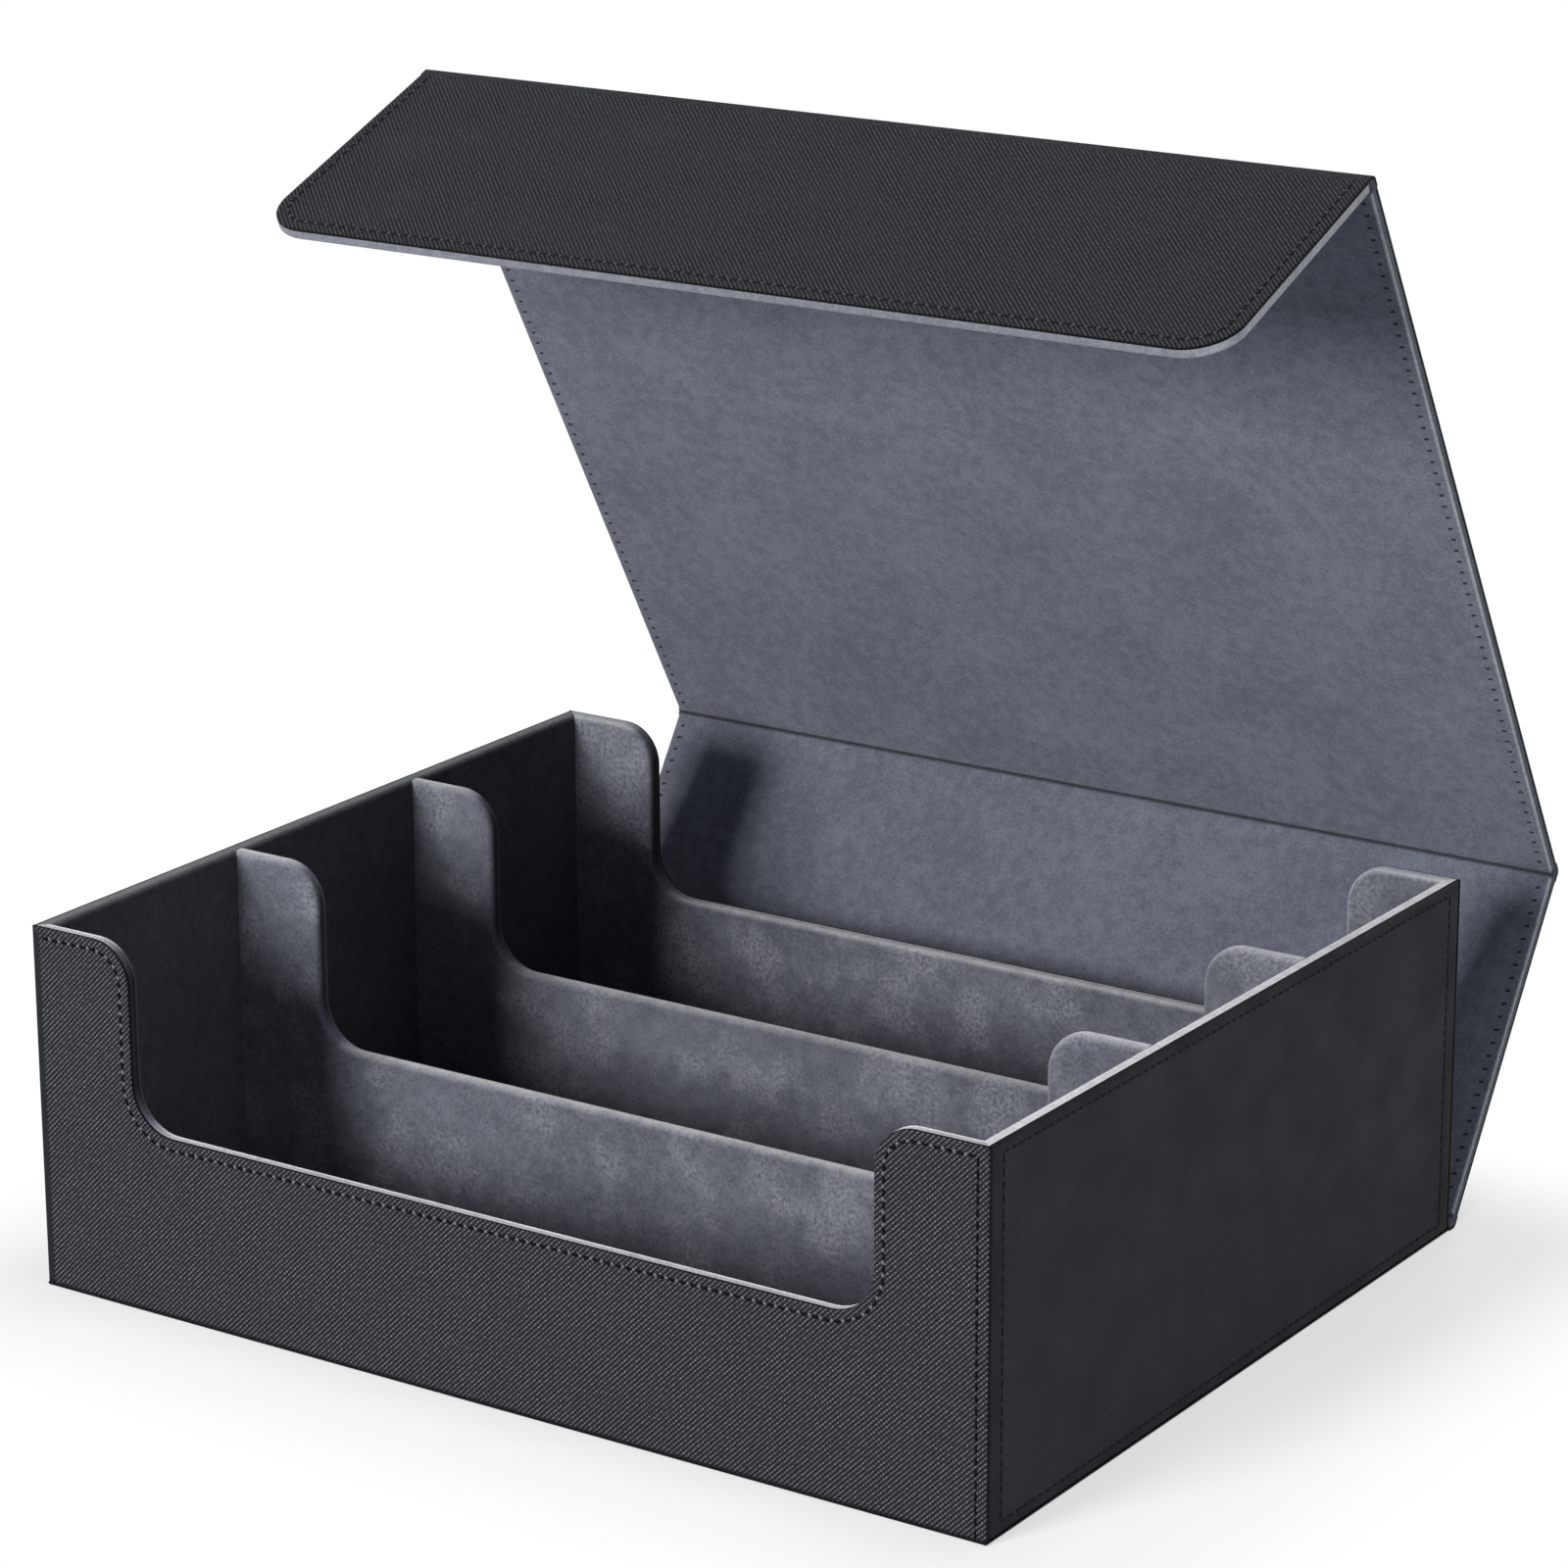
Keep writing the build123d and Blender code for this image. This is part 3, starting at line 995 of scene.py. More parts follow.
    def shade(self, obj: Piece) -> None:
        """Paint shade on the plain left band, which also loses its twill, and on the foot of the edited
        sheet.

        Args:
            obj: the sheet in edit mode.
        """
        shape = self.outline
        line = -shape.half_width + self.left_band
        if self.left_band:
            cut((line, 0.0, 0.0), X_AXIS)
        if self.foot_shade_band:
            cut((0.0, shape.foot + self.foot_shade_band, 0.0), Y_AXIS)
        mesh = bmesh.from_edit_mesh(obj.data)
        edge = mesh.verts.layers.float["edge"]
        press = mesh.verts.layers.float["press"]
        for vert in mesh.verts:
            if self.left_band and vert.co.x < line - TINY:
                vert[edge] = max(vert[edge], self.left_band_shade)
                vert[press] = 0.0
            if self.foot_shade_band and shape.is_on(Edge.FOOT, vert.co):
                vert[edge] = max(vert[edge], self.foot_shade)
        bmesh.update_edit_mesh(obj.data)


@dataclass(frozen=True)
class RimShades:
    """How pale a turned edge is, as painted light and shade, where it faces left, right or along the sheet: 1
    is pale, -1 is painted shade.

    A point that faces out of the sheet, with less than least of its normal in it, is shaded less.
    """

    left: float = 1.0
    right: float = 1.0
    end: float = 1.0
    least: float = 0.01

    def share(self, shape: Outline, cuts: tuple[Edge, ...], co: Vector, normal: Vector) -> float:
        """The shade at a point, apart from how far it lies over the edge.

        Args:
            shape: the sheet's outline.
            cuts: the edges where the sheet is cut off.
            co: the point, in the sheet's own frame.
            normal: the point's normal.

        Returns:
            The shade.
        """
        # At a cut, the normal leans over the cut's own face, which is no part of the rim.
        for edge in cuts:
            if shape.is_on(edge, co):
                normal = normal - edge.out() * normal.dot(edge.out())
        sides, ends = normal.x**2, normal.y**2
        side = self.left if normal.x < 0.0 else self.right
        return (sides * side + ends * self.end) / max(sides + ends, self.least)


@dataclass(frozen=True)
class SuedeSkin:
    """A suede sheet that turns over edges of its board, and is cut off at the others."""

    name: str
    outline: Outline
    place: Place
    thickness: float
    turn: float
    radius: float
    cuts: tuple[Edge, ...] = (Edge.FOOT, Edge.LEFT, Edge.RIGHT)
    shades: RimShades = RimShades()
    round_steps: int = 5

    def make(self) -> Piece:
        """Model the skin, mark its rims of painted light and shade and put it in its place.

        Returns:
            The skin.
        """
        obj = self.outline.sheet(self.name)
        with editing(obj):
            self.form(obj)
        use_modifier(obj, "SOLIDIFY", thickness=self.thickness, offset=-1.0, use_even_offset=True)
        rims = [self.rim_share(vertex.co, vertex.normal) for vertex in obj.data.vertices]
        write_points(obj, "rim", [min(1.0, max(-1.0, rim)) for rim in rims])
        smooth(obj)
        self.place.settle(obj)
        return obj

    def form(self, obj: Piece) -> None:
        """Turn the edited flat shape over its board."""
        raise NotImplementedError

    def rim_share(self, co: Vector, normal: Vector) -> float:
        """How pale the skin is at a point, as painted light and shade: 0 on the flat, up to 1 on a pale rim,
        down to -1 on a rim of painted shade.
        """
        raise NotImplementedError

    def is_cut(self, edge: bmesh.types.BMEdge) -> bool:
        """Whether an edge of the mesh lies where the sheet is cut off."""
        return any(all(self.outline.is_on(side, v.co) for v in edge.verts) for side in self.cuts)


@dataclass(frozen=True)
class TurnedSheet(SuedeSkin):
    """A lining on one side of a board, turned over the board's edges."""

    mitred: bool = False
    flat_share: float = 1.0
    seam: float = 0.0
    seam_half: float = 0.25 * MM
    seam_depth: float = 0.25 * MM
    seam_share: float = 0.2
    band_share: float = 1.0

    def form(self, obj: Piece) -> None:
        """Turn the edited flat shape over its board, with a seam line along the rim.

        Args:
            obj: the sheet in edit mode.
        """
        end = self.outline.half_width - TINY
        pick(obj, Pick.EDGES, lambda e: e.is_boundary and not self.is_cut(e))
        extrude_back(self.turn)
        if self.mitred:
            for sign in BOTH_SIDES:
                pick(obj, Pick.VERTS, lambda v: v.co.z < -TINY and v.co.x * sign > end)
                bpy.ops.transform.translate(value=(sign * self.turn, 0.0, 0.0))
        pick(obj, Pick.EDGES, lambda e: len(e.link_faces) == 2 and all(abs(v.co.z) < TINY for v in e.verts))
        round_edges(self.radius, self.round_steps)
        if self.seam:
            for level in (self.seam - self.seam_half, self.seam, self.seam + self.seam_half):
                cut((0.0, 0.0, -level), Z_AXIS)
            pick(obj, Pick.VERTS, lambda v: abs(v.co.z + self.seam) < TINY)
            bpy.ops.transform.shrink_fatten(value=-self.seam_depth)

    def rim_share(self, co: Vector, normal: Vector) -> float:
        """How pale the turned edge is at a point, as painted light and shade.

        Args:
            co: the point, in the sheet's own frame.
            normal: the point's normal.

        Returns:
            0 on the flat, up to 1 on the rim, or below 0 where it has painted shade.
        """
        share = self.shades.share(self.outline, self.cuts, co, normal)
        if share > 0.0 and self.seam and co.z < -self.seam + TINY:
            share *= self.band_share if co.z < -self.seam - TINY else self.seam_share
        depth = 2.0 * min(1.0, -co.z / self.radius)
        return share * (min(1.0, depth) + (self.flat_share - 1.0) * max(0.0, depth - 1.0))


@dataclass(frozen=True)
class Sleeve(SuedeSkin):
    """A sleeve over both sides of a divider board, open at its foot."""

    # Painted light on sides that face the key lamp, painted shade on those that face away.
    shades: RimShades = RimShades(0.4, -0.95, 0.5)

    def form(self, obj: Piece) -> None:
        """Pull the edited flat shape over its board.

        Args:
            obj: the sleeve in edit mode.
        """
        foot = self.outline.foot + TINY
        bpy.ops.mesh.select_all(action="SELECT")
        extrude_back(self.turn)
        turn_faces_out()
        pick(obj, Pick.FACES, lambda f: f.normal.y < -FACING and f.calc_center_median().y < foot)
        bpy.ops.mesh.delete(type="FACE")
        pick(obj, Pick.EDGES, lambda e: abs(e.verts[0].co.z - e.verts[1].co.z) < TINY and not self.is_cut(e))
        round_edges(self.radius, self.round_steps)

    def rim_share(self, co: Vector, normal: Vector) -> float:
        """How pale the rim is at a point, as painted light and shade.

        Args:
            co: the point, in the sleeve's own frame.
            normal: the point's normal.

        Returns:
            0 on the flat, up to 1 on the rim, or below 0 where it has painted shade.
        """
        half = self.turn / 2
        over = min(1.0, (half - abs(co.z + half)) / self.radius)
        return over * self.shades.share(self.outline, self.cuts, co, normal)


def repeat_along(obj: Piece, place: Place, line: Sequence[Point], count: int, spacing: float) -> None:
    """Copy a small shape along a line on a sheet.

    Args:
        obj: the shape, along x at the start of the line.
        place: the sheet's place.
        line: the line's points in the sheet's own frame.
        count: how many copies there are.
        spacing: their distance.
    """
    data = bpy.data.curves.new(obj.name + "_line", "CURVE")
    data.dimensions = "2D"
    spline = data.splines.new("POLY")
    spline.points.add(len(line) - 1)
    for point, (x, y) in zip(spline.points, line):
        point.co = (x, y, 0.0, 1.0)
    guide = bpy.data.objects.new(obj.name + "_line", data)
    bpy.context.scene.collection.objects.link(guide)
    use_modifier(
        obj,
        "ARRAY",
        fit_type="FIXED_COUNT",
        count=count,
        use_relative_offset=False,
        use_constant_offset=True,
        constant_offset_displace=(spacing, 0.0, 0.0),
    )
    use_modifier(obj, "CURVE", object=guide, deform_axis="POS_X")
    bpy.data.objects.remove(guide)
    bpy.data.curves.remove(data)
    activate(obj)
    bpy.ops.object.shade_smooth()
    place.settle(obj)


@dataclass(frozen=True)
class Sewing:
    """Rows of single stitches, modelled once and copied along a line."""

    material: bpy.types.Material
    pitch: float = 3.5 * MM
    length: float = 1.9 * MM
    width: float = 0.95 * MM
    height: float = 0.6 * MM
    sunk: float = 0.3 * MM
    slant: float = 0.0
    sag: float = 0.0
    sag_half: float = 0.2
    edge_share: float = 0.28
    hump: Triple = (1.25 * MM, 0.95 * MM, 0.5 * MM)

    def stitch(self, name: str, spacing: float) -> Piece:
        """Model one stitch along x, a bar with rounded edges that may sag in its middle.

        Args:
            name: the object's name.
            spacing: the row's spacing, in whose middle the stitch lies.

        Returns:
            The stitch.
        """
        size = (self.length, self.width, self.height)
        obj = add_mesh(name, bpy.ops.mesh.primitive_cube_add, size, size=1.0)
        with editing(obj):
            if self.sag:
                middle = self.length * self.sag_half
                for sign in BOTH_SIDES:
                    cut((sign * middle, 0.0, 0.0), X_AXIS)
                pick(obj, Pick.VERTS, lambda v: abs(v.co.x) < middle + TINY)
                bpy.ops.transform.translate(value=(0.0, -self.sag, 0.0))
            pick(obj, Pick.EDGES, lambda e: e.calc_face_angle(0.0) > SHARP_ANGLE)
            round_edges(min(self.width, self.length) * self.edge_share, 1)
        activate(obj)
        obj.location = (spacing / 2, 0.0, self.height / 2 - self.sunk)
        obj.rotation_euler = (0.0, 0.0, math.radians(self.slant))
        bpy.ops.object.transform_apply(location=True, rotation=True, scale=True)
        return obj

    def fit(self, line: Sequence[Point]) -> tuple[int, float]:
        """How many stitches a line takes, and their spacing.

        Args:
            line: the row's points.

        Returns:
            The count and the spacing.
        """
        length = sum(math.dist(a, b) for a, b in zip(line, line[1:]))
        count = max(1, round(length / self.pitch))
        return count, length / count

    def row(self, name: str, place: Place, line: Sequence[Point], body: Body) -> None:
        """Sew a row of stitches along a line on a sheet.

        Args:
            name: the object's name.
            place: the sheet's place.
            line: the row's points in the sheet's own frame.
            body: the body that carries it.
        """
        count, spacing = self.fit(line)
        obj = self.stitch(name, spacing)
        repeat_along(obj, place, line, count, spacing)
        hand_over(obj, self.material, body)

    def humps(
        self, name: str, place: Place, line: Sequence[Point], body: Body, material: bpy.types.Material
    ) -> None:
        """Raise the leather in a low hump between each two stitches of a row, pale with a painted highlight.

        Args:
            name: the object's name.
            place: the sheet's place.
            line: the row's points in the sheet's own frame.
            body: the body that carries it.
            material: the pale leather finish that paints the hump's highlight.
        """
        count, spacing = self.fit(line)
        start = (spacing, 0.0, 0.0)
        ball = {"segments": 8, "ring_count": 4, "radius": 0.5, "location": start}
        obj = add_mesh(name, bpy.ops.mesh.primitive_uv_sphere_add, self.hump, **ball)
        repeat_along(obj, place, line, count - 1, spacing)
        hand_over(obj, material, body)


@dataclass(frozen=True)
class BoxSizes:
    """The box's sizes, read from the frame, with its notch."""

    half_width: float
    half_depth: float
    height: float
    leather: float
    lined_x: float
    lined_y: float
    floor: float
    lining: float
    post: float = 35.0 * MM
    notch_floor: float = 55.0 * MM
    notch_top_round: float = 12.5 * MM
    notch_floor_round: float = 14.0 * MM
    rim_round: float = 1.8 * MM

    @classmethod
    def from_frame(cls) -> "BoxSizes":
        """Read the sizes from the CAD nodes' boxes.

        Returns:
            The sizes.
        """
        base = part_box("base_leather")
        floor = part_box("floor_lining")
        return cls(
            half_width=base[1].x,
            half_depth=base[1].y,
            height=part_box("front_leather")[1].z,
            leather=base[1].z - base[0].z,
            lined_x=floor[1].x,
            lined_y=floor[1].y,
            floor=floor[1].z,
            lining=floor[1].z - floor[0].z,
        )

    def notched(self, half_width: float, foot: float) -> Outline:
        """A notched wall's outline.

        Args:
            half_width: half the sheet's width.
            foot: the height of its foot.

        Returns:
            The outline.
        """
        return Outline(
            half_width,
            foot,
            self.height,
            self.half_width - self.post,
            self.notch_floor,
            self.notch_top_round,
            self.notch_floor_round,
        )

    def turn(self) -> float:
        """How far a wall's lining turns over its rim."""
        return self.half_width - self.leather - self.lined_x


@dataclass
class BoxShell:
    """The outer leather of the four walls and the base, with its sewing."""

    sizes: BoxSizes
    finishes: Finishes
    rim_row: float = 3.0 * MM
    rim_start: float = 3.2 * MM
    edge_row: float = 3.5 * MM
    left_line: float = 2.6 * MM
    side_row: float = 3.4 * MM
    corner_row: float = 6.0 * MM
    # Painted shade on the rounded foot of the notched walls.
    foot_shade_band: float = 1.6 * MM
    right_round: float = 0.9 * MM
    left_round: float = 0.35 * MM
    side_press: float = 0.25
    side_border: float = 0.42

    def build(self) -> None:
        """Model and dress the skins, then sew them."""
        s = self.sizes
        front = Place(-s.half_depth * Y_AXIS, X_AXIS, Z_AXIS)
        back = Place(s.half_depth * Y_AXIS, -X_AXIS, Z_AXIS)
        right = Place(s.half_width * X_AXIS, Y_AXIS, Z_AXIS)
        left = Place(-s.half_width * X_AXIS, -Y_AXIS, Z_AXIS)
        base = Place(Vector(), X_AXIS, -Y_AXIS)
        wall = s.notched(s.half_width, s.leather)
        side = Outline(s.half_depth - s.leather, s.leather, s.height)
        under = Outline(s.half_width, -s.half_depth, s.half_depth)
        notched = {
            "groove_inset": self.rim_row,
            "right_inset": self.edge_row,
            "bare": (Edge.FOOT,),
            "foot_shade_band": self.foot_shade_band,
        }
        plain = {
            "groove_inset": self.side_row,
            "left_inset": self.corner_row,
            "right_inset": self.corner_row,
            "border_paint": self.side_border,
            "press": self.side_press,
        }
        line = self.left_line
        # The front skin's left band is plain and gets painted shade.
        sheets = (
            LeatherSheet("front_skin", wall, front, s.leather, left_inset=line, left_band=line, **notched),
            LeatherSheet("back_skin", wall, back, s.leather, left_inset=self.edge_row, **notched),
            LeatherSheet("right_skin", side, right, s.leather, edge_round=self.right_round, **plain),
            LeatherSheet("left_skin", side, left, s.leather, edge_round=self.left_round, **plain),
            LeatherSheet("base_skin", under, base, s.leather, grooved=False),
        )
        for sheet in sheets:
            node = sheet.name.replace("skin", "leather")
            hand_over(sheet.make(), self.finishes.leather, Body.BOX, node)
        self.sew_notched("front", front, wall, self.rim_start, (Edge.RIGHT,))
        self.sew_notched("back", back, wall, self.edge_row, (Edge.RIGHT, Edge.LEFT))
        self.sew_side("right", right, side)
        self.sew_side("left", left, side)

    def sew_notched(
        self, name: str, place: Place, wall: Outline, start: float, uprights: Sequence[Edge]
    ) -> None:
        """Sew a notched wall's rim and upright edges.

        Args:
            name: front or back.
            place: the wall's place.
            wall: its outline.
            start: where the rim's row starts, from the left end.
            uprights: the upright edges that are sewn.
        """
        rim_sewing = Sewing(self.finishes.thread, sag=0.25 * MM)
        edge_sewing = Sewing(self.finishes.thread, pitch=3.42 * MM, length=2.2 * MM, width=0.7 * MM)
        rim = wall.rim_line(self.rim_row, start, self.edge_row)
        rim_sewing.row(f"{name}_rim_row", place, rim, Body.BOX)
        rim_sewing.humps(f"{name}_rim_humps", place, rim, Body.BOX, self.finishes.hump_highlight)
        high = wall.top - self.rim_row
        for edge in uprights:
            x = edge.out().x * (wall.half_width - self.edge_row)
            line = [(x, high), (x, wall.foot)]
            edge_sewing.row(f"{name}_{edge.name.lower()}_row", place, line, Body.BOX)

    def sew_side(self, name: str, place: Place, side: Outline) -> None:
        """Sew a plain wall's four edges.

        Args:
            name: right or left.
            place: the wall's place.
            side: its outline.
        """
        thread = self.finishes.side_thread
        sewing = Sewing(thread, pitch=3.65 * MM, length=2.1 * MM, width=0.5 * MM, height=0.5 * MM)
        end = side.half_width - self.corner_row
        low, high = side.foot + self.side_row, side.top - self.side_row
        lines = {
            "top": [(-end, high), (end, high)],
            "foot": [(end, low), (-end, low)],
            "front": [(-end, low), (-end, high)],
            "rear": [(end, high), (end, low)],
        }
        for key, line in lines.items():
            sewing.row(f"{name}_{key}_row", place, line, Body.BOX)


@dataclass
class CardRows:
    """The suede inside of the box: the wall linings, the floor and the two dividers."""

    sizes: BoxSizes
    finishes: Finishes
    divider_round: float = 1.9 * MM
    divider_grip: float = 0.8 * MM
    floor_round: float = 0.4 * MM
    rim_seam: float = 2.2 * MM
    # Painted light and shade on the rims, partly a paler edge: notch sides that face the key lamp get light,
    # those facing away get shade, and each wall's rim is as pale as the light on it.
    notch_lit: float = 0.4
    notch_shaded: float = -0.95
    front_rim: float = 0.8
    front_band: float = 0.5
    back_rim: float = 0.45
    back_band: float = 0.6
    right_rim: float = 0.72
    left_rim: float = 0.08

    def build(self) -> None:
        """Model and dress the linings, the floor and the dividers."""
        s = self.sizes
        lit, shaded = self.notch_lit, self.notch_shaded
        front, back = -s.lined_y * Y_AXIS, s.lined_y * Y_AXIS
        self.line_notched("front", front, -X_AXIS, RimShades(shaded, lit, self.front_rim), self.front_band)
        self.line_notched("back", back, X_AXIS, RimShades(lit, shaded, self.back_rim), self.back_band)
        self.line_side("right", s.lined_x * X_AXIS, -Y_AXIS, self.right_rim)
        self.line_side("left", -s.lined_x * X_AXIS, Y_AXIS, self.left_rim)
        self.lay_floor()
        for name in ("front", "rear"):
            self.stand_divider(name)

    def lining(self, name: str, shape: Outline, place: Place, **looks: object) -> Piece:
        """Model one wall's lining, turned over the wall's rim.

        Args:
            name: the wall's name.
            shape: the lining's outline.
            place: its place.
            looks: the shades and the seam of its rim.

        Returns:
            The lining.
        """
        s = self.sizes
        skin = f"{name}_lining_skin"
        return TurnedSheet(skin, shape, place, s.lining, s.turn(), s.rim_round, mitred=True, **looks).make()

    def line_notched(self, name: str, origin: Vector, across: Vector, shades: RimShades, band: float) -> None:
        """Line the front or the back wall, with a seam along its rim.

        Args:
            name: the wall's name.
            origin: the foot of the lining's middle.
            across: the lining's own x.
            shades: the painted light and shade of its rim.
            band: how much of them the rim's outer band has.
        """
        s = self.sizes
        shape = s.notched(s.lined_x, s.floor - s.lining)
        place = Place(origin, across, Z_AXIS)
        obj = self.lining(name, shape, place, shades=shades, seam=self.rim_seam, band_share=band)
        hand_over(obj, self.finishes.suede, Body.BOX, f"{name}_lining")

    def line_side(self, name: str, origin: Vector, across: Vector, rim: float) -> None:
        """Line the right or the left wall.

        Args:
            name: the wall's name.
            origin: the foot of the lining's middle.
            across: the lining's own x.
            rim: how pale its rim is, partly as painted light.
        """
        s = self.sizes
        shape = Outline(s.lined_y, s.floor - s.lining, s.height)
        obj = self.lining(name, shape, Place(origin, across, Z_AXIS), shades=RimShades(end=rim))
        # Darker charcoal suede, partly painted shade for the inside of the side walls.
        hand_over(obj, self.finishes.charcoal_and_shade, Body.BOX, f"{name}_lining")

    def lay_floor(self) -> None:
        """Lay the suede on the bottom."""
        s = self.sizes
        shape = Outline(s.lined_x, -s.lined_y, s.lined_y)
        place = Place(s.floor * Z_AXIS, X_AXIS, Y_AXIS)
        sheet = LeatherSheet("floor_skin", shape, place, s.lining, grooved=False, edge_round=self.floor_round)
        hand_over(sheet.make(), self.finishes.suede, Body.BOX, "floor_lining")

    def stand_divider(self, name: str) -> None:
        """Stand one divider's sleeve between two rows.

        Args:
            name: front or rear.
        """
        s = self.sizes
        node = f"{name}_divider_suede"
        low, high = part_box(node)
        shape = s.notched(high.x + self.divider_grip, low.z)
        place = Place(low.y * Y_AXIS, X_AXIS, Z_AXIS)
        sleeve = Sleeve(f"{name}_divider_skin", shape, place, s.lining, high.y - low.y, self.divider_round)
        hand_over(sleeve.make(), self.finishes.suede, Body.BOX, node)


@dataclass(frozen=True)
class Fold:
    """One fold of the lid at rest: its axis and the directions of the panels that it joins."""

    axis: Vector
    before: float
    after: float

    @staticmethod
    def along(angle: float) -> Vector:
        """A panel's direction, away from the fold that it hangs on."""
        return Vector((0.0, math.cos(angle), math.sin(angle)))

    @staticmethod
    def inward(angle: float) -> Vector:
        """The direction from a panel's middle to its suede side."""
        return Vector((0.0, -math.sin(angle), math.cos(angle)))


@dataclass(frozen=True)
class LidSizes:
    """The lid's sizes, read from the frame's joints."""

    half_width: float
    thickness: float
    folds: tuple[Fold, Fold, Fold]
    skin: float = 1.0 * MM
    panel_end: float = 2.3 * MM
    flap_length: float = 88.0 * MM
    flap_corner: float = 15.0 * MM
    suede_round: float = 1.0 * MM
    leather_round: float = 0.5 * MM

    @classmethod
    def from_frame(cls) -> "LidSizes":
        """Read the fold axes and the panels' directions from the joints.

        Returns:
            The sizes.
        """
        joints = {joint["name"]: joint for joint in frame["joints"]}
        names = ("base_fold_turn", "top_fold_turn", "flap_fold_turn")
        axes = [Vector((0.0, *joints[name]["pos_m"][1:])) for name in names]
        rise = axes[1] - axes[0]
        reach = axes[2] - axes[1]
        back = math.atan2(rise.z, rise.y)
        top = math.atan2(reach.z, reach.y)
        flap = top - math.radians(joints["flap_fold_turn"]["range_deg"][0])
        folds = (Fold(axes[0], 0.0, back), Fold(axes[1], back, top), Fold(axes[2], top, flap))
        return cls(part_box("top_panel_leather")[1].x, 2.0 * axes[0].z, folds)


@dataclass
class Lid:
    """The three lid panels, the folds between them and their sewing."""

    sizes: LidSizes
    finishes: Finishes
    leather_row: float = 3.8 * MM
    suede_row: float = 3.2 * MM
    row_end: float = 1.5 * MM
    shoulder: float = 0.95 * MM
    shoulder_room: float = 0.1
    crease_line: tuple[Point, ...] = ((0.5 * MM, 0.08 * MM), (0.3 * MM, -0.2 * MM))
    crease_depth: float = 0.5 * MM
    # Painted shade along the crease's slit, from its shoulders to its bottom.
    crease_dark: tuple[float, ...] = (0.0, -0.15, -0.5, -0.75, -0.9)
    crease_end: float = 2.0 * MM
    lip: float = 0.6 * MM
    fold_steps: int = 12
    painted_end: float = 0.6 * MM
    hump: Triple = (1.3 * MM, 0.7 * MM, 0.45 * MM)
    press: float = 0.9
    # Painted light on the lid's rims: paler on the right edges than the left ones, which face away from the
    # light.
    panel_shades: RimShades = RimShades(0.3, 0.75)
    panel_flat: float = 0.1
    flap_shades: RimShades = RimShades(0.2, 0.65, 0.1)

    def build(self) -> None:
        """Model and dress the panels and the folds."""
        base, top, flap = self.sizes.folds
        self.panel("back_panel", Body.BACK, base, (top.axis - base.axis).length)
        self.panel("top_panel", Body.TOP, top, (flap.axis - top.axis).length)
        self.panel("flap", Body.FLAP, flap)
        self.fold("base_fold", base, Body.BOX, Body.BACK)
        self.fold("top_fold", top, Body.BACK, Body.TOP)
        self.fold("flap_fold", flap, Body.TOP, Body.FLAP)

    def panel(self, name: str, body: Body, fold: Fold, span: float = 0.0) -> None:
        """Model one panel's leather and suede, and sew them.

        Args:
            name: the panel's name.
            body: the body that carries it.
            fold: the fold that the panel hangs on.
            span: the length to the next fold, or 0 for the flap.
        """
        s = self.sizes
        direction = fold.along(fold.after)
        rise = fold.inward(fold.after) * (s.thickness / 2)
        outer = Place(fold.axis - rise, -X_AXIS, direction)
        inner = Place(fold.axis + rise, X_AXIS, direction)
        if span:
            shape = Outline(s.half_width, s.panel_end, span - s.panel_end)
            bare, lip = (Edge.FOOT, Edge.TOP), self.lip
            looks = {"shades": self.panel_shades, "flat_share": self.panel_flat}
        else:
            shape = Outline(s.half_width, s.panel_end, s.flap_length, corner_round=s.flap_corner)
            bare, lip = (Edge.FOOT,), 0.0
            looks = {"shades": self.flap_shades}
        skin = LeatherSheet(
            f"{name}_skin",
            shape,
            outer,
            s.skin,
            self.leather_row,
            bare,
            lip=lip,
            edge_round=s.leather_round,
            mirrored=True,
            press=self.press,
        )
        hand_over(skin.make(), self.finishes.lid_leather, body, f"{name}_leather")
        turn = s.thickness - s.skin - lip
        suede = TurnedSheet(f"{name}_suede_skin", shape, inner, s.skin, turn, s.suede_round, bare, **looks)
        hand_over(suede.make(), self.finishes.lid_suede, body, f"{name}_suede")
        self.sew(name, body, outer, inner, shape)

    def sew(self, name: str, body: Body, outer: Place, inner: Place, shape: Outline) -> None:
        """Sew one panel's edges, outside and inside.

        Args:
            name: the panel's name.
            body: the body that carries it.
            outer: the leather's place.
            inner: the suede's place.
            shape: the panel's outline.
        """
        dull, grey = self.finishes.dull_thread, self.finishes.grey_thread
        dashes = Sewing(dull, pitch=3.8 * MM, length=2.2 * MM, width=0.6 * MM, hump=self.hump)
        ticks = Sewing(grey, pitch=4.2 * MM, length=0.9 * MM, width=1.7 * MM, height=0.5 * MM, slant=12.0)
        for key, line in self.sewn_lines(shape, self.leather_row).items():
            dashes.row(f"{name}_outer_{key}_row", outer, line, body)
            dashes.humps(f"{name}_{key}_humps", outer, line, body, self.finishes.lid_hump_highlight)
        for key, line in self.sewn_lines(shape, self.suede_row).items():
            ticks.row(f"{name}_inner_{key}_row", inner, line, body)

    def sewn_lines(self, shape: Outline, inset: float) -> dict[str, list[Point]]:
        """The lines of a panel's sewing: both sides, or all round the flap.

        Args:
            shape: the panel's outline.
            inset: their distance from its edge.

        Returns:
            Each line's points, by its name.
        """
        if shape.corner_round:
            return {"edge": shape.skirt_line(inset, self.row_end)}
        edge = shape.half_width - inset
        low, high = shape.foot + self.row_end, shape.top - self.row_end
        return {"left": [(-edge, low), (-edge, high)], "right": [(edge, high), (edge, low)]}

